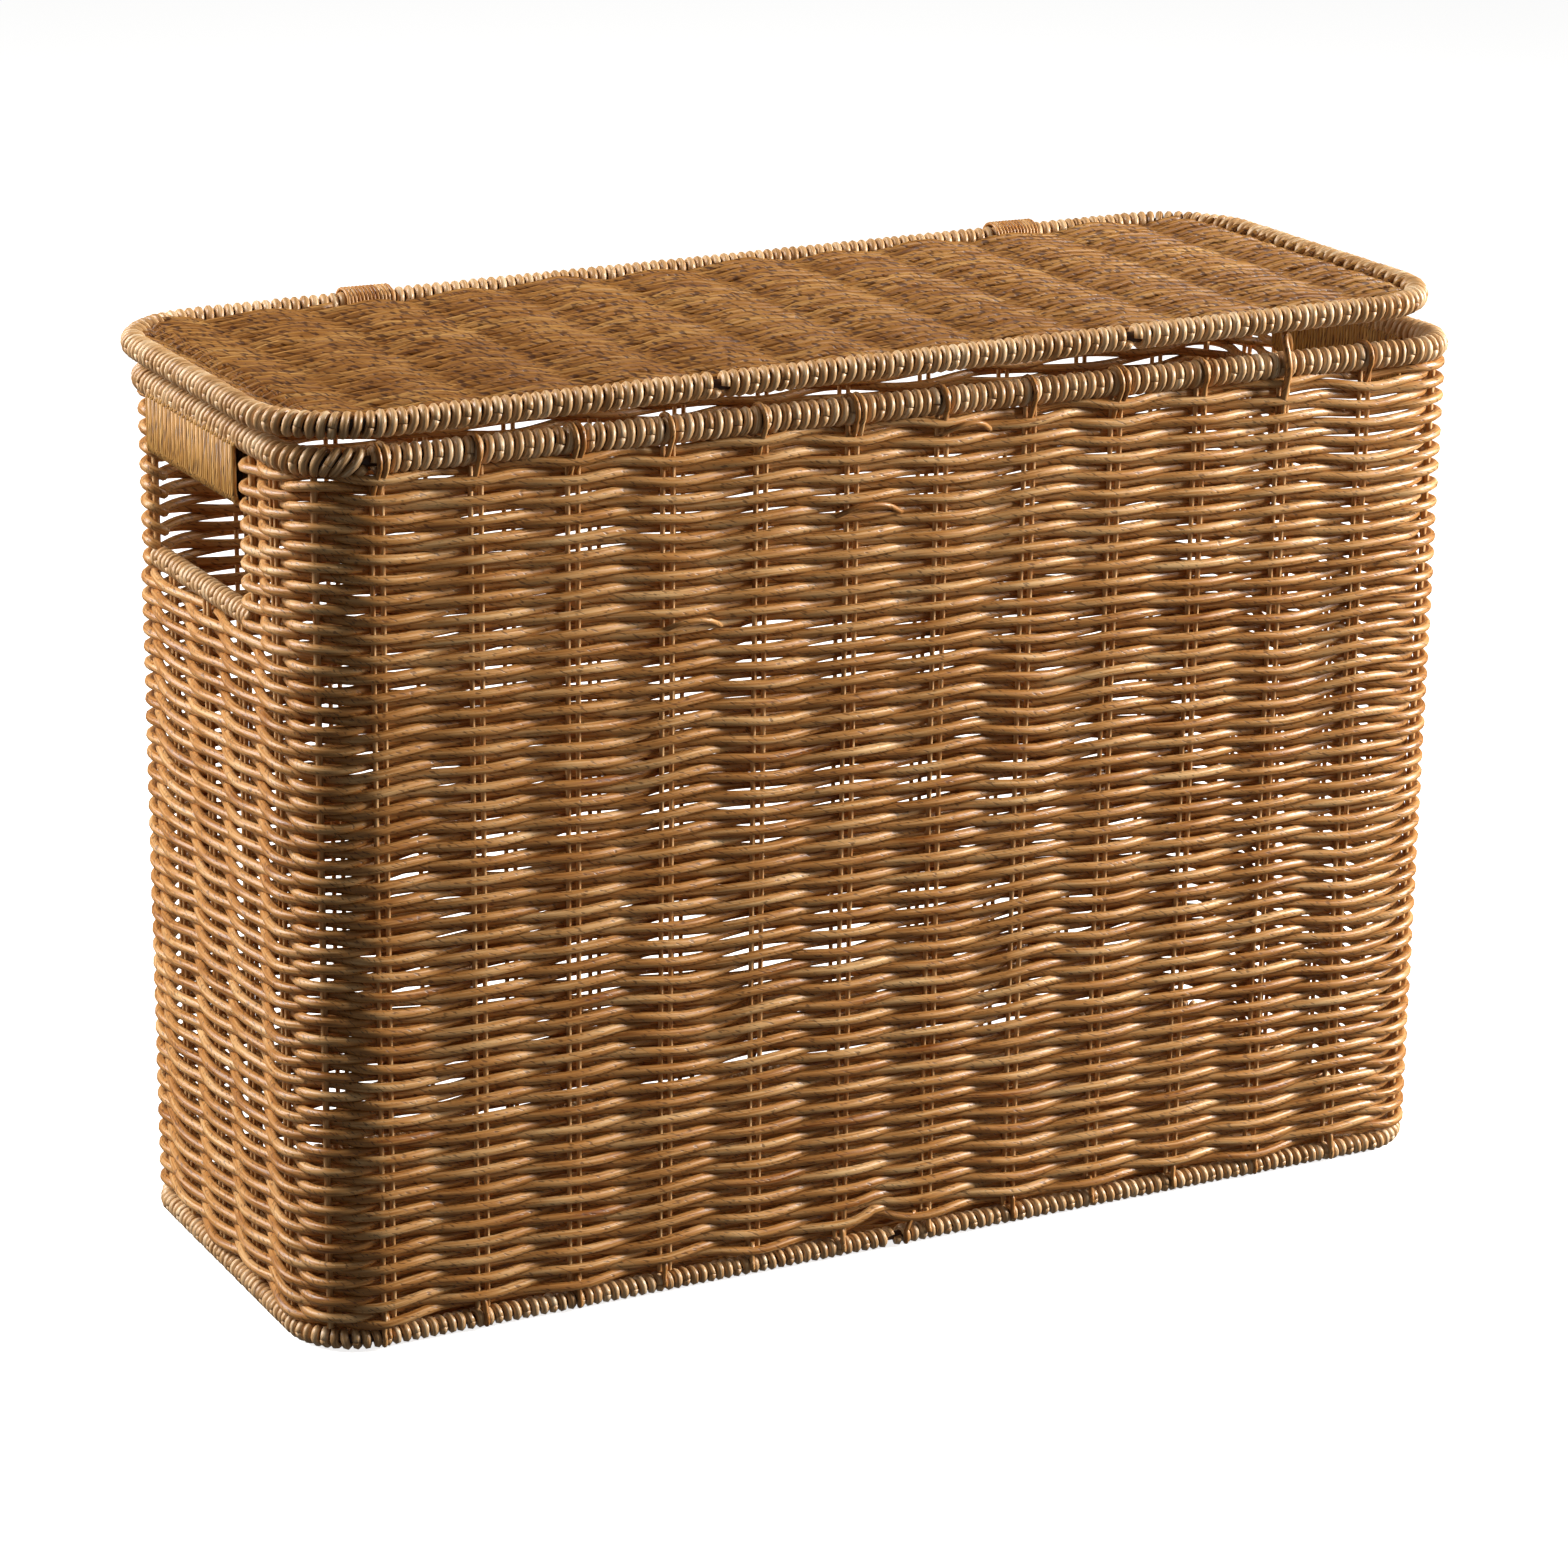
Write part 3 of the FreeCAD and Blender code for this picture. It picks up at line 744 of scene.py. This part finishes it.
class HAMPER_OT_rails(bpy.types.Operator):
    """Wind cane on the rim and the base rail"""

    bl_idname = "hamper.rails"
    bl_label = "Wind the rim and base"

    def execute(self, context):
        sizes = context.scene.hamper_sizes
        cane = material_of("polypropylene rail cane")
        radius = RIM_RADIUS - sizes.rail_cane / 2
        whole = length_round(rim_loop)
        knot = front_pairs[0] - 2 * MM  # where the rim's winding begins and ends
        line = winding(
            rim_loop, RIM_HEIGHT, knot - whole, knot - 0.75 * sizes.rail_pitch,
            radius, sizes.rail_pitch, sense=1, seed=1, lean=corner_lean,
        )
        mesh = cane_mesh("rim_winding", shades(line), sizes.rail_cane, seed=5)
        nodes = ["rim_wrap_" + side for side in ("front", "back", "left", "right", "corners")]
        add_piece("rim_winding", mesh, "basket", cane, nodes=nodes)

        radius = BASE_RADIUS - sizes.base_cane / 2
        line = winding(
            rim_loop, BASE_HEIGHT, BASE_JOIN + 2.5 * MM, BASE_JOIN + whole - 1.5 * MM,
            radius, sizes.base_pitch, sense=-1, seed=21, upright=0.6,
        )
        mesh = cane_mesh("base_winding", shades(line), sizes.base_cane, seed=6, rounds=1)
        sides = ("front_left", "front_right", "back", "left", "right", "corners")
        nodes = ["base_wrap_" + side for side in sides]
        add_piece("base_winding", mesh, "basket", cane, nodes=nodes)
        return {"FINISHED"}


def over_front_rail(x, height, radius, start, end, steps):
    """An arc over a rail of the front wall, between angles in degrees: 0 is in front, 90 on top."""
    line = []
    for step in range(steps + 1):
        angle = math.radians(start + (end - start) * step / steps)
        line.append(
            Vector((x, -HALF_Y - radius * math.cos(angle), height + radius * math.sin(angle)))
        )
    return line


def rim_tie(x, radius, end, tail, sway):
    """A stake end that comes out of the front wall, bends over the rim and goes down behind it.

    end is the angle at which it leaves the rim, tail how far below the rim it starts,
    and sway how far aside.
    """
    arc = over_front_rail(x, RIM_HEIGHT, radius, -40, end, steps=8)
    foot = Vector((x + sway, -HALF_Y - 1.6 * MM, arc[0].z - tail))
    rising = foot + Vector((-sway * 0.4, -1.2 * MM, tail * 0.45))
    return [foot, rising] + arc + [arc[-1] + Vector((0, 0.5 * MM, -tail * 0.7))]


class HAMPER_OT_ties(bpy.types.Operator):
    """Bring the stake ends over the rim and under the base rail"""

    bl_idname = "hamper.ties"
    bl_label = "Tie the stake ends"

    def execute(self, context):
        sizes = context.scene.hamper_sizes
        cane = material_of("polypropylene wall cane")
        chance = random.Random(31)
        self.rim_ties(sizes, cane, chance)
        self.base_ties(sizes, cane, chance)
        self.standing_loop(sizes, cane)
        return {"FINISHED"}

    def rim_ties(self, sizes, cane, chance):
        """Strands over the rim at the stakes, except where the loop and the hinges are."""
        loop_place = middle("prop_loop").x
        hinge_places = (middle("hinge_left").x, middle("hinge_right").x)
        hinge_reach = HINGE_WIDTH / 2 + sizes.tie_cane
        radius = RIM_RADIUS + sizes.tie_cane / 2 - 0.9 * MM
        front, back = [], []
        for place in front_pairs:
            x = place - 1.0 * MM
            sway = chance.uniform(-2, 2) * MM
            if abs(place - loop_place) > sizes.row_pitch:
                front.append(rim_tie(x, radius, 150, 13 * MM, sway))
            if chance.random() < 0.25:
                front.append(rim_tie(x + 3.2 * MM, radius, 120, 11 * MM, sway))
            # The back is the front turned half round, so its places change sign.
            if all(abs(-place - hinge) > hinge_reach for hinge in hinge_places):
                back.append(rim_tie(x, radius, 150, 13 * MM, sway))
        over = cane_mesh("rim_ties", front, sizes.tie_cane, seed=8)
        rear = cane_mesh("rear_ties", back, sizes.tie_cane, seed=9)
        rear.transform(HALF_TURN)
        mesh = joined("rim_ties", (over, rear))
        add_piece("rim_ties", mesh, "basket", cane, nodes=["rim_strands"])

    def base_ties(self, sizes, cane, chance):
        """Strands over the base rail at the stakes, the first corner and the wrap's join."""
        ends = []
        for place in front_pairs:
            x = place + chance.uniform(-2.5, 1.5) * MM
            ends.append(base_end(x, chance.uniform(-1.5, 1.5) * MM, chance.choice((35, 12, -5))))
        ends.append(base_end(-HALF_X + CORNER, 1.5 * MM, 40))
        ends.append(base_end(BASE_JOIN + 6 * MM, 5 * MM, 40))
        near = cane_mesh("base_ties", ends, sizes.tie_cane, seed=10)
        far = near.copy()
        far.transform(HALF_TURN)
        add_piece("base_ties", joined("base_ties", (near, far)), "basket", cane)

    def standing_loop(self, sizes, cane):
        """The strand that stands up from the rim and holds the lid's right end."""
        x = middle("prop_loop").x - 2.5 * MM
        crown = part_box("prop_loop")[1].z - sizes.tie_cane / 2
        y = -HALF_Y
        reach = RIM_RADIUS + sizes.tie_cane / 2
        points = [
            (x + 1.5 * MM, y - 1.5 * MM, RIM_HEIGHT - 26 * MM),
            (x + 0.5 * MM, y - 3.6 * MM, RIM_HEIGHT - 17 * MM),
            (x, y - 6.4 * MM, RIM_HEIGHT - 8 * MM),
            (x, y - reach, RIM_HEIGHT - 1 * MM),
            (x, y - reach + 1.2 * MM, RIM_HEIGHT + 5 * MM),
            (x + 0.3 * MM, y - 3.2 * MM, crown - 3.2 * MM),
            (x + 1.6 * MM, y - 0.8 * MM, crown - 0.3 * MM),
            (x + 3.6 * MM, y + 0.6 * MM, crown - 0.6 * MM),
            (x + 6.4 * MM, y + 2.6 * MM, crown - 4.0 * MM),
            (x + 9.0 * MM, y + 5.6 * MM, RIM_HEIGHT + 5.4 * MM),
            (x + 9.6 * MM, y + reach, RIM_HEIGHT),
            (x + 9.6 * MM, y + 6.2 * MM, RIM_HEIGHT - 12 * MM),
        ]
        diameter = 1.4 * sizes.tie_cane
        mesh = cane_mesh("standing_loop", [smooth(points)], diameter, seed=12, rounds=3)
        add_piece("standing_loop", mesh, "basket", cane, nodes=["prop_loop"])


def base_end(x, sway, reach):
    """A stake end that comes out under the weave and goes that many degrees down the base rail."""
    top = Vector((x + sway, -HALF_Y - 2.2 * MM, WALL_BOTTOM + 7 * MM))
    radius = BASE_RADIUS - 0.2 * MM
    arc = over_front_rail(x, BASE_HEIGHT, radius, 35, -reach, steps=6)
    return [top, top + Vector((-sway * 0.5, -1.6 * MM, -4 * MM))] + arc


def smooth(points, steps=4):
    """Points along a smooth line through the given ones."""
    spots = [Vector(point) for point in points]
    line = []
    for index in range(len(spots) - 1):
        before = spots[max(index - 1, 0)]
        after = spots[min(index + 2, len(spots) - 1)]
        a, b = spots[index], spots[index + 1]
        for step in range(steps):
            t = step / steps
            line.append(
                0.5 * (
                    2 * a
                    + (b - before) * t
                    + (2 * before - 5 * a + 4 * b - after) * t * t
                    + (3 * a - before - 3 * b + after) * t ** 3
                )
            )
    return line + [spots[-1]]


class HAMPER_OT_loose_ends(bpy.types.Operator):
    """Add the few strands that have worked loose on the front"""

    bl_idname = "hamper.loose_ends"
    bl_label = "Add loose strands"

    def execute(self, context):
        sizes = context.scene.hamper_sizes
        cane = material_of("polypropylene wall cane")
        lines = [
            self.arch(-48, -8, 366, 4.5),
            self.arch(-134, -100, 323, 3.5),
            self.arch(10, 38, 400, 3.5),
        ]
        mesh = cane_mesh("loose_strands", lines, sizes.tie_cane, seed=14)
        add_piece("loose_strands", mesh, "basket", cane)
        return {"FINISHED"}

    def arch(self, left, right, height, rise):
        """A strand that stands off the wall between two places, all in millimetres."""
        rises = (-3, rise * 0.6, rise, rise * 0.7, -2)
        depths = (1, 6.5, 7.5, 6.5, 1)
        spots = zip(evenly(left, right, len(rises)), depths, rises)
        return smooth([Vector((x, -HALF_Y / MM - out, height + up)) * MM for x, out, up in spots])


# ------------------------------------------------------------ handles

class HAMPER_OT_handles(bpy.types.Operator):
    """Wind the handle bands and the sills under the hand holes"""

    bl_idname = "hamper.handles"
    bl_label = "Wind the handles"

    def execute(self, context):
        sizes = context.scene.hamper_sizes
        band_cane = material_of("polypropylene handle cane")
        rail_cane = material_of("polypropylene rail cane")
        band = self.band(sizes)
        sill = self.sill(SILL_RADIUS - sizes.rail_cane / 2, sizes.rail_pitch)
        band_parts = split(band, BAND_TONE_TURNS * BAND_STEPS)
        for side, place in (("left", UPRIGHT), ("right", HALF_TURN)):
            name = side + "_band_winding"
            mesh = cane_mesh(name, band_parts, sizes.band_cane, seed=15)
            add_piece(name, mesh, "basket", band_cane, place, [side + "_handle_band"])
            name = side + "_sill_winding"
            mesh = cane_mesh(name, shades(sill), sizes.rail_cane, seed=16)
            add_piece(name, mesh, "basket", rail_cane, place, [side + "_sill_wrap"])
        return {"FINISHED"}

    def band(self, sizes):
        """Turns that go round the rim rod, inside its own winding, and the handle rod."""
        radius = RIM_RADIUS - sizes.band_cane / 2
        pitch = sizes.band_pitch
        high = RIM_HEIGHT - sizes.rail_cane
        low = BAND_LOW.z + RIM_RADIUS
        start, end = BAND_LOW.y + pitch / 2, BAND_HIGH.y - pitch / 2
        turns = round((end - start) / pitch)
        chance = random.Random(17)
        line = []
        for turn in range(turns):
            shift = chance.uniform(-0.05, 0.05) * pitch
            for step in range(BAND_STEPS):
                # The first half of the points go over the rim rod, the rest under the handle's.
                half = BAND_STEPS // 2
                angle = math.pi * (step % half) / (half - 1)
                centre, reach = (high, radius) if step < half else (low, -radius)
                y = start + (end - start) * (turn + step / BAND_STEPS) / turns + shift
                line.append(
                    Vector((-HALF_X - reach * math.cos(angle), y, centre + reach * math.sin(angle)))
                )
        return line

    def sill(self, radius, pitch):
        """Turns round the rod under the hand hole."""
        start, end = BAND_LOW.y - pitch, BAND_HIGH.y + pitch
        turns = round((end - start) / pitch)
        count = turns * TURN_STEPS
        line = []
        for step in range(count):
            angle = 2 * math.pi * step / TURN_STEPS
            x = -HALF_X - radius * math.cos(angle)
            y = start + (end - start) * step / count
            line.append(Vector((x, y, SILL_HEIGHT + radius * math.sin(angle))))
        return line


# ------------------------------------------------------------ floor and lid panels

PANEL_INSET = 3 * MM              # from the middle of a rail to the end of a cane


def panel_row(y, half_length, crossings, sign, push, seed, wander):
    """One cane along X, over and under the crossings, flat about Z = 0."""
    chance = random.Random(seed)
    phase = chance.random() * 7
    line = []
    last = half_length - 4 * MM
    places = [-half_length] + [x for x in crossings if abs(x) < last] + [half_length]
    skipped = sum(x <= -last for x in crossings)
    sign = sign if skipped % 2 == 0 else -sign
    for distance, share in wave(places, sign):
        # The cane strays in waves 170 and 33 mm long, and a little at random.
        slow = math.sin(distance * 37 + phase)
        quick = math.sin(distance * 190 + 3 * phase)
        stray = wander * (0.4 * slow + 0.4 * quick + chance.uniform(-0.25, 0.25))
        rise = wander * (0.4 * quick + chance.uniform(-0.35, 0.35))
        line.append(Vector((distance, y + stray, share * push + rise)))
    return line


def half_length_at(y, loop, inset):
    """Half the length of a rounded panel at a distance from its middle line."""
    half_x, half_y, radius = loop
    past = max(0.0, abs(y) - (half_y - radius))
    return half_x - radius + math.sqrt(max(0.0, radius ** 2 - past ** 2)) - inset


class HAMPER_OT_floor(bpy.types.Operator):
    """Weave the floor"""

    bl_idname = "hamper.floor"
    bl_label = "Weave the floor"

    def execute(self, context):
        sizes = context.scene.hamper_sizes
        cane = material_of("polypropylene wall cane")
        edge = HALF_Y - BASE_RADIUS - sizes.wall_cane / 2
        push = (FLOOR_THICKNESS - sizes.wall_cane) / 2
        count = round(2 * edge / sizes.row_pitch) + 1
        lines = [
            panel_row(
                y, half_length_at(y, rim_loop, PANEL_INSET), front_pairs,
                side_of(row), push, 300 + row, 0.3 * MM,
            )
            for row, y in enumerate(evenly(-edge, edge, count))
        ]
        mesh = cane_mesh("floor_rows", lines, sizes.wall_cane, seed=18, rounds=1)
        place = Matrix.Translation((0, 0, FLOOR_HEIGHT))
        add_piece("floor_rows", mesh, "basket", cane, place, ["floor_weave"])
        return {"FINISHED"}


class HAMPER_OT_lid(bpy.types.Operator):
    """Weave the lid and wind its rail"""

    bl_idname = "hamper.lid"
    bl_label = "Weave the lid"

    def execute(self, context):
        sizes = context.scene.hamper_sizes
        self.rows(sizes)
        self.rail(sizes)
        return {"FINISHED"}

    def rows(self, sizes):
        """Canes along the lid, over and under its stakes."""
        cane = material_of("polypropylene lid cane")
        low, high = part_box("lid_stakes")
        edge_pair = PAIR_HALF + STAKE / 2
        crossings = evenly(
            low.x - lid_centre.x + edge_pair, high.x - lid_centre.x - edge_pair, LID_PAIRS
        )
        edge = LID_HALF_Y - LID_RADIUS - sizes.lid_cane / 2
        count = round(2 * edge / sizes.row_pitch) + 1
        push = 2.9 * MM               # half a stake and half a cane
        lines = []
        for row, y in enumerate(evenly(-edge, edge, count)):
            half_length = half_length_at(y, lid_loop, PANEL_INSET)
            line = panel_row(y, half_length, crossings, side_of(row), push, 100 + row, 0.8 * MM)
            lines += self.clear_of_hinges(line) if row == count - 1 else [line]
        mesh = cane_mesh("lid_rows", lines, sizes.lid_cane, seed=19)
        add_piece("lid_rows", mesh, "lid", cane, LID_PLACE, ["lid_weave"])

    def clear_of_hinges(self, line):
        """The row beside the back rail, without the stretches where the hinges are."""
        clear = HINGE_WIDTH / 2 + 4.5 * MM
        middles = [middle(hinge).x - lid_centre.x for hinge in ("hinge_left", "hinge_right")]
        parts, part = [], []
        for point in line:
            if any(abs(point.x - x) < clear for x in middles):
                if len(part) > 1:
                    parts.append(part)
                part = []
            else:
                part.append(point)
        parts.append(part)
        return parts

    def rail(self, sizes):
        """Turns round the lid's rod, in two windings that meet at the front."""
        cane = material_of("polypropylene rail cane")
        radius = LID_RADIUS - sizes.rail_cane / 2
        whole = length_round(lid_loop)
        left, right = LID_WRAP_JOINS
        gap = 2 * MM
        stretches = (
            (right + gap, left + whole - gap),
            (left + gap, right - gap),
        )
        pieces = []
        for index, (start, end) in enumerate(stretches):
            line = winding(
                lid_loop, 0, start, end, radius, sizes.rail_pitch, sense=1, seed=40 + index
            )
            pieces += shades(line)
        mesh = cane_mesh("lid_rail_winding", pieces, sizes.rail_cane, seed=20)
        sides = ("front_left", "front_middle", "front_right", "back", "left", "right", "corners")
        nodes = ["lid_wrap_" + side for side in sides]
        add_piece("lid_rail_winding", mesh, "lid", cane, LID_PLACE, nodes)


# ------------------------------------------------------------ hinges

class HAMPER_OT_hinges(bpy.types.Operator):
    """Lash the lid's back rail to the rim"""

    bl_idname = "hamper.hinges"
    bl_label = "Lash the hinges"

    def execute(self, context):
        sizes = context.scene.hamper_sizes
        cane = material_of("polypropylene wall cane")
        for side in ("hinge_left", "hinge_right"):
            name = side + "_lashing"
            mesh = cane_mesh(name, self.loops(side, sizes), sizes.lashing_cane, seed=22)
            add_piece(name, mesh, "basket", cane, nodes=[side])
        return {"FINISHED"}

    def loops(self, side, sizes):
        """Turns that hold the rim and the lid's rail together, each a long oval."""
        x = middle(side).x
        along = (x - hinge_point.x) / hinge_axis.x
        top = hinge_point + hinge_axis * along
        low = Vector((x, HALF_Y, RIM_HEIGHT))
        upper = LID_RADIUS + 0.45 * MM + sizes.lashing_cane / 2
        lower = RIM_RADIUS + 0.1 * MM + sizes.lashing_cane / 2
        lean = math.atan2(top.y - low.y, top.z - low.z)
        half = HINGE_WIDTH / 2 - sizes.lashing_cane / 2
        count = round(2 * half / (1.1 * sizes.lashing_cane))
        line = []
        for turn in range(count):
            for step in range(LASHING_STEPS):
                angle = 2 * math.pi * step / LASHING_STEPS
                centre, radius = (top, upper) if step < LASHING_STEPS // 2 else (low, lower)
                across = math.cos(angle) * radius
                rise = math.sin(angle) * radius
                place = x - half + 2 * half * (turn + step / LASHING_STEPS) / count
                line.append(Vector((
                    place,
                    centre.y + across * math.cos(lean) + rise * math.sin(lean),
                    centre.z - across * math.sin(lean) + rise * math.cos(lean),
                )))
        return split(line, RAIL_TONE_TURNS * LASHING_STEPS)


# ------------------------------------------------------------ carried-over CAD nodes

class HAMPER_OT_frame(bpy.types.Operator):
    """Give the wire frame and the stakes their finishes"""

    bl_idname = "hamper.frame"
    bl_label = "Finish the wire and stakes"

    def execute(self, context):
        wire = material_of("brown stoving enamel")
        stake = material_of("polypropylene stake cane")
        for name, piece in frame["nodes"].items():
            finish = stake if name.endswith(("_stakes", "_posts")) else wire
            piece.data.materials.clear()
            piece.data.materials.append(finish)
            for face in piece.data.polygons:
                face.use_smooth = True
        return {"FINISHED"}


# ------------------------------------------------------------ stage

VIEW_TURN = math.radians(27.79)      # the camera stands this far to the left of straight on
VIEW_DROP = math.radians(17.45)      # and looks this far down
VIEW_TILT = math.radians(0.706)      # and leans this far over
VIEW_DISTANCE = 2.2245               # metres from the aim
VIEW_AIM = Vector((-0.0080, 0.0016, 0.2017))
FOCAL_LENGTH = 104.57                # millimetres, on a sensor 36 mm wide

LIT_POINT = Vector((0, 0, 0.22))     # the middle of the hamper, at which the lights aim
FLOOR_RADIUS = 14.0                  # metres

# Name, direction from the hamper, distance, width, height, watts and colour of each light.
SOFTBOXES = (
    ("key_softbox", (0.95, -0.36, 0.36), 2.4, 0.7, 0.9, 118, (1.0, 0.96, 0.91)),
    ("side_softbox", (-0.85, 0.62, 0.40), 2.0, 0.9, 1.2, 30, (1.0, 0.97, 0.94)),
    ("top_softbox", (-0.75, 0.35, 0.75), 2.2, 0.8, 0.8, 36, (1.0, 0.98, 0.96)),
)


def aimed(location, target):
    """A turn that points -Z at a target."""
    return (Vector(target) - Vector(location)).to_track_quat("-Z", "Y").to_euler()


def softbox(name, direction, distance, width, height, power, colour):
    """A large area light that faces the hamper."""
    lamp = bpy.data.lights.new(name, "AREA")
    lamp.shape = "RECTANGLE"
    lamp.size = width
    lamp.size_y = height
    lamp.energy = power
    lamp.color = colour
    holder = bpy.data.objects.new(name, lamp)
    holder.location = LIT_POINT + Vector(direction).normalized() * distance
    holder.rotation_euler = aimed(holder.location, LIT_POINT)
    bpy.context.scene.collection.objects.link(holder)


class HAMPER_OT_stage(bpy.types.Operator):
    """Set up floor, lights and camera"""

    bl_idname = "hamper.stage"
    bl_label = "Set the stage"

    def execute(self, context):
        self.floor()
        self.lights(context.scene)
        self.camera(context.scene)
        context.scene.view_settings.view_transform = "Standard"
        return {"FINISHED"}

    def floor(self):
        """A wide round sheet under the hamper."""
        shape = bmesh.new()
        bmesh.ops.create_circle(shape, cap_ends=True, segments=96, radius=FLOOR_RADIUS)
        mesh = bpy.data.meshes.new("studio_floor")
        shape.to_mesh(mesh)
        shape.free()
        mesh.materials.append(material_of("seamless studio paper"))
        floor = bpy.data.objects.new("studio_floor", mesh)
        # The floor glows like a light table but throws no light up at the hamper.
        floor.visible_diffuse = False
        floor.visible_glossy = False
        bpy.context.scene.collection.objects.link(floor)

    def lights(self, scene):
        """Softboxes, and surroundings that look white but light the hamper only faintly."""
        for settings in SOFTBOXES:
            softbox(*settings)
        world = bpy.data.worlds.new("white_surround")
        world.use_nodes = True
        tree = world.node_tree
        surround = tree.nodes["Background"]
        surround.inputs["Color"].default_value = (1, 1, 1, 1)
        surround.inputs["Strength"].default_value = 0.12
        seen = node(tree, "ShaderNodeBackground", values={"Color": (1, 1, 1, 1), "Strength": 1.0})
        rays = node(tree, "ShaderNodeLightPath")
        mix = node(
            tree, "ShaderNodeMixShader",
            links={0: rays.outputs["Is Camera Ray"], 1: surround.outputs[0], 2: seen.outputs[0]},
        )
        tree.links.new(mix.outputs[0], tree.nodes["World Output"].inputs["Surface"])
        scene.world = world

    def camera(self, scene):
        """A long lens, to the left of the front and a little above."""
        lens = bpy.data.cameras.new("camera")
        lens.sensor_width = 36.0
        lens.lens = FOCAL_LENGTH
        lens.clip_end = 100
        holder = bpy.data.objects.new("camera", lens)
        ahead = Vector((
            math.sin(VIEW_TURN) * math.cos(VIEW_DROP),
            math.cos(VIEW_TURN) * math.cos(VIEW_DROP),
            -math.sin(VIEW_DROP),
        ))
        right = Vector((math.cos(VIEW_TURN), -math.sin(VIEW_TURN), 0))
        above = right.cross(ahead)
        side = math.cos(VIEW_TILT) * right + math.sin(VIEW_TILT) * above
        top = math.cos(VIEW_TILT) * above - math.sin(VIEW_TILT) * right
        holder.matrix_world = Matrix.Translation(VIEW_AIM - ahead * VIEW_DISTANCE) @ Matrix(
            (side, top, -ahead)
        ).transposed().to_4x4()
        scene.collection.objects.link(holder)
        scene.camera = holder


# ------------------------------------------------------------ panel and registration

OPERATORS = (
    HAMPER_OT_frame,
    HAMPER_OT_walls,
    HAMPER_OT_rails,
    HAMPER_OT_ties,
    HAMPER_OT_loose_ends,
    HAMPER_OT_handles,
    HAMPER_OT_floor,
    HAMPER_OT_lid,
    HAMPER_OT_hinges,
    HAMPER_OT_stage,
)


class HAMPER_PT_panel(bpy.types.Panel):
    """Sizes, colours and steps of the hamper"""

    bl_idname = "HAMPER_PT_panel"
    bl_label = "Woven hamper"
    bl_space_type = "VIEW_3D"
    bl_region_type = "UI"
    bl_category = "Hamper"

    def draw(self, context):
        for group in (context.scene.hamper_sizes, context.scene.hamper_colours):
            for name in group.__annotations__:
                self.layout.prop(group, name)
        for operator in OPERATORS:
            self.layout.operator(operator.bl_idname)


CLASSES = (HamperSizes, HamperColours, *OPERATORS, HAMPER_PT_panel)


def register():
    """Registers the classes and hangs the settings on the scene."""
    for cls in CLASSES:
        bpy.utils.register_class(cls)
    bpy.types.Scene.hamper_sizes = bpy.props.PointerProperty(type=HamperSizes)
    bpy.types.Scene.hamper_colours = bpy.props.PointerProperty(type=HamperColours)


def unregister():
    """Undoes what register does."""
    del bpy.types.Scene.hamper_colours
    del bpy.types.Scene.hamper_sizes
    for cls in reversed(CLASSES):
        bpy.utils.unregister_class(cls)


def main():
    """Runs every step."""
    register()
    for operator in OPERATORS:
        group, name = operator.bl_idname.split(".")
        if getattr(getattr(bpy.ops, group), name)() != {"FINISHED"}:
            raise RuntimeError(operator.bl_label + " did not finish")


if __name__ == "__main__":
    main()
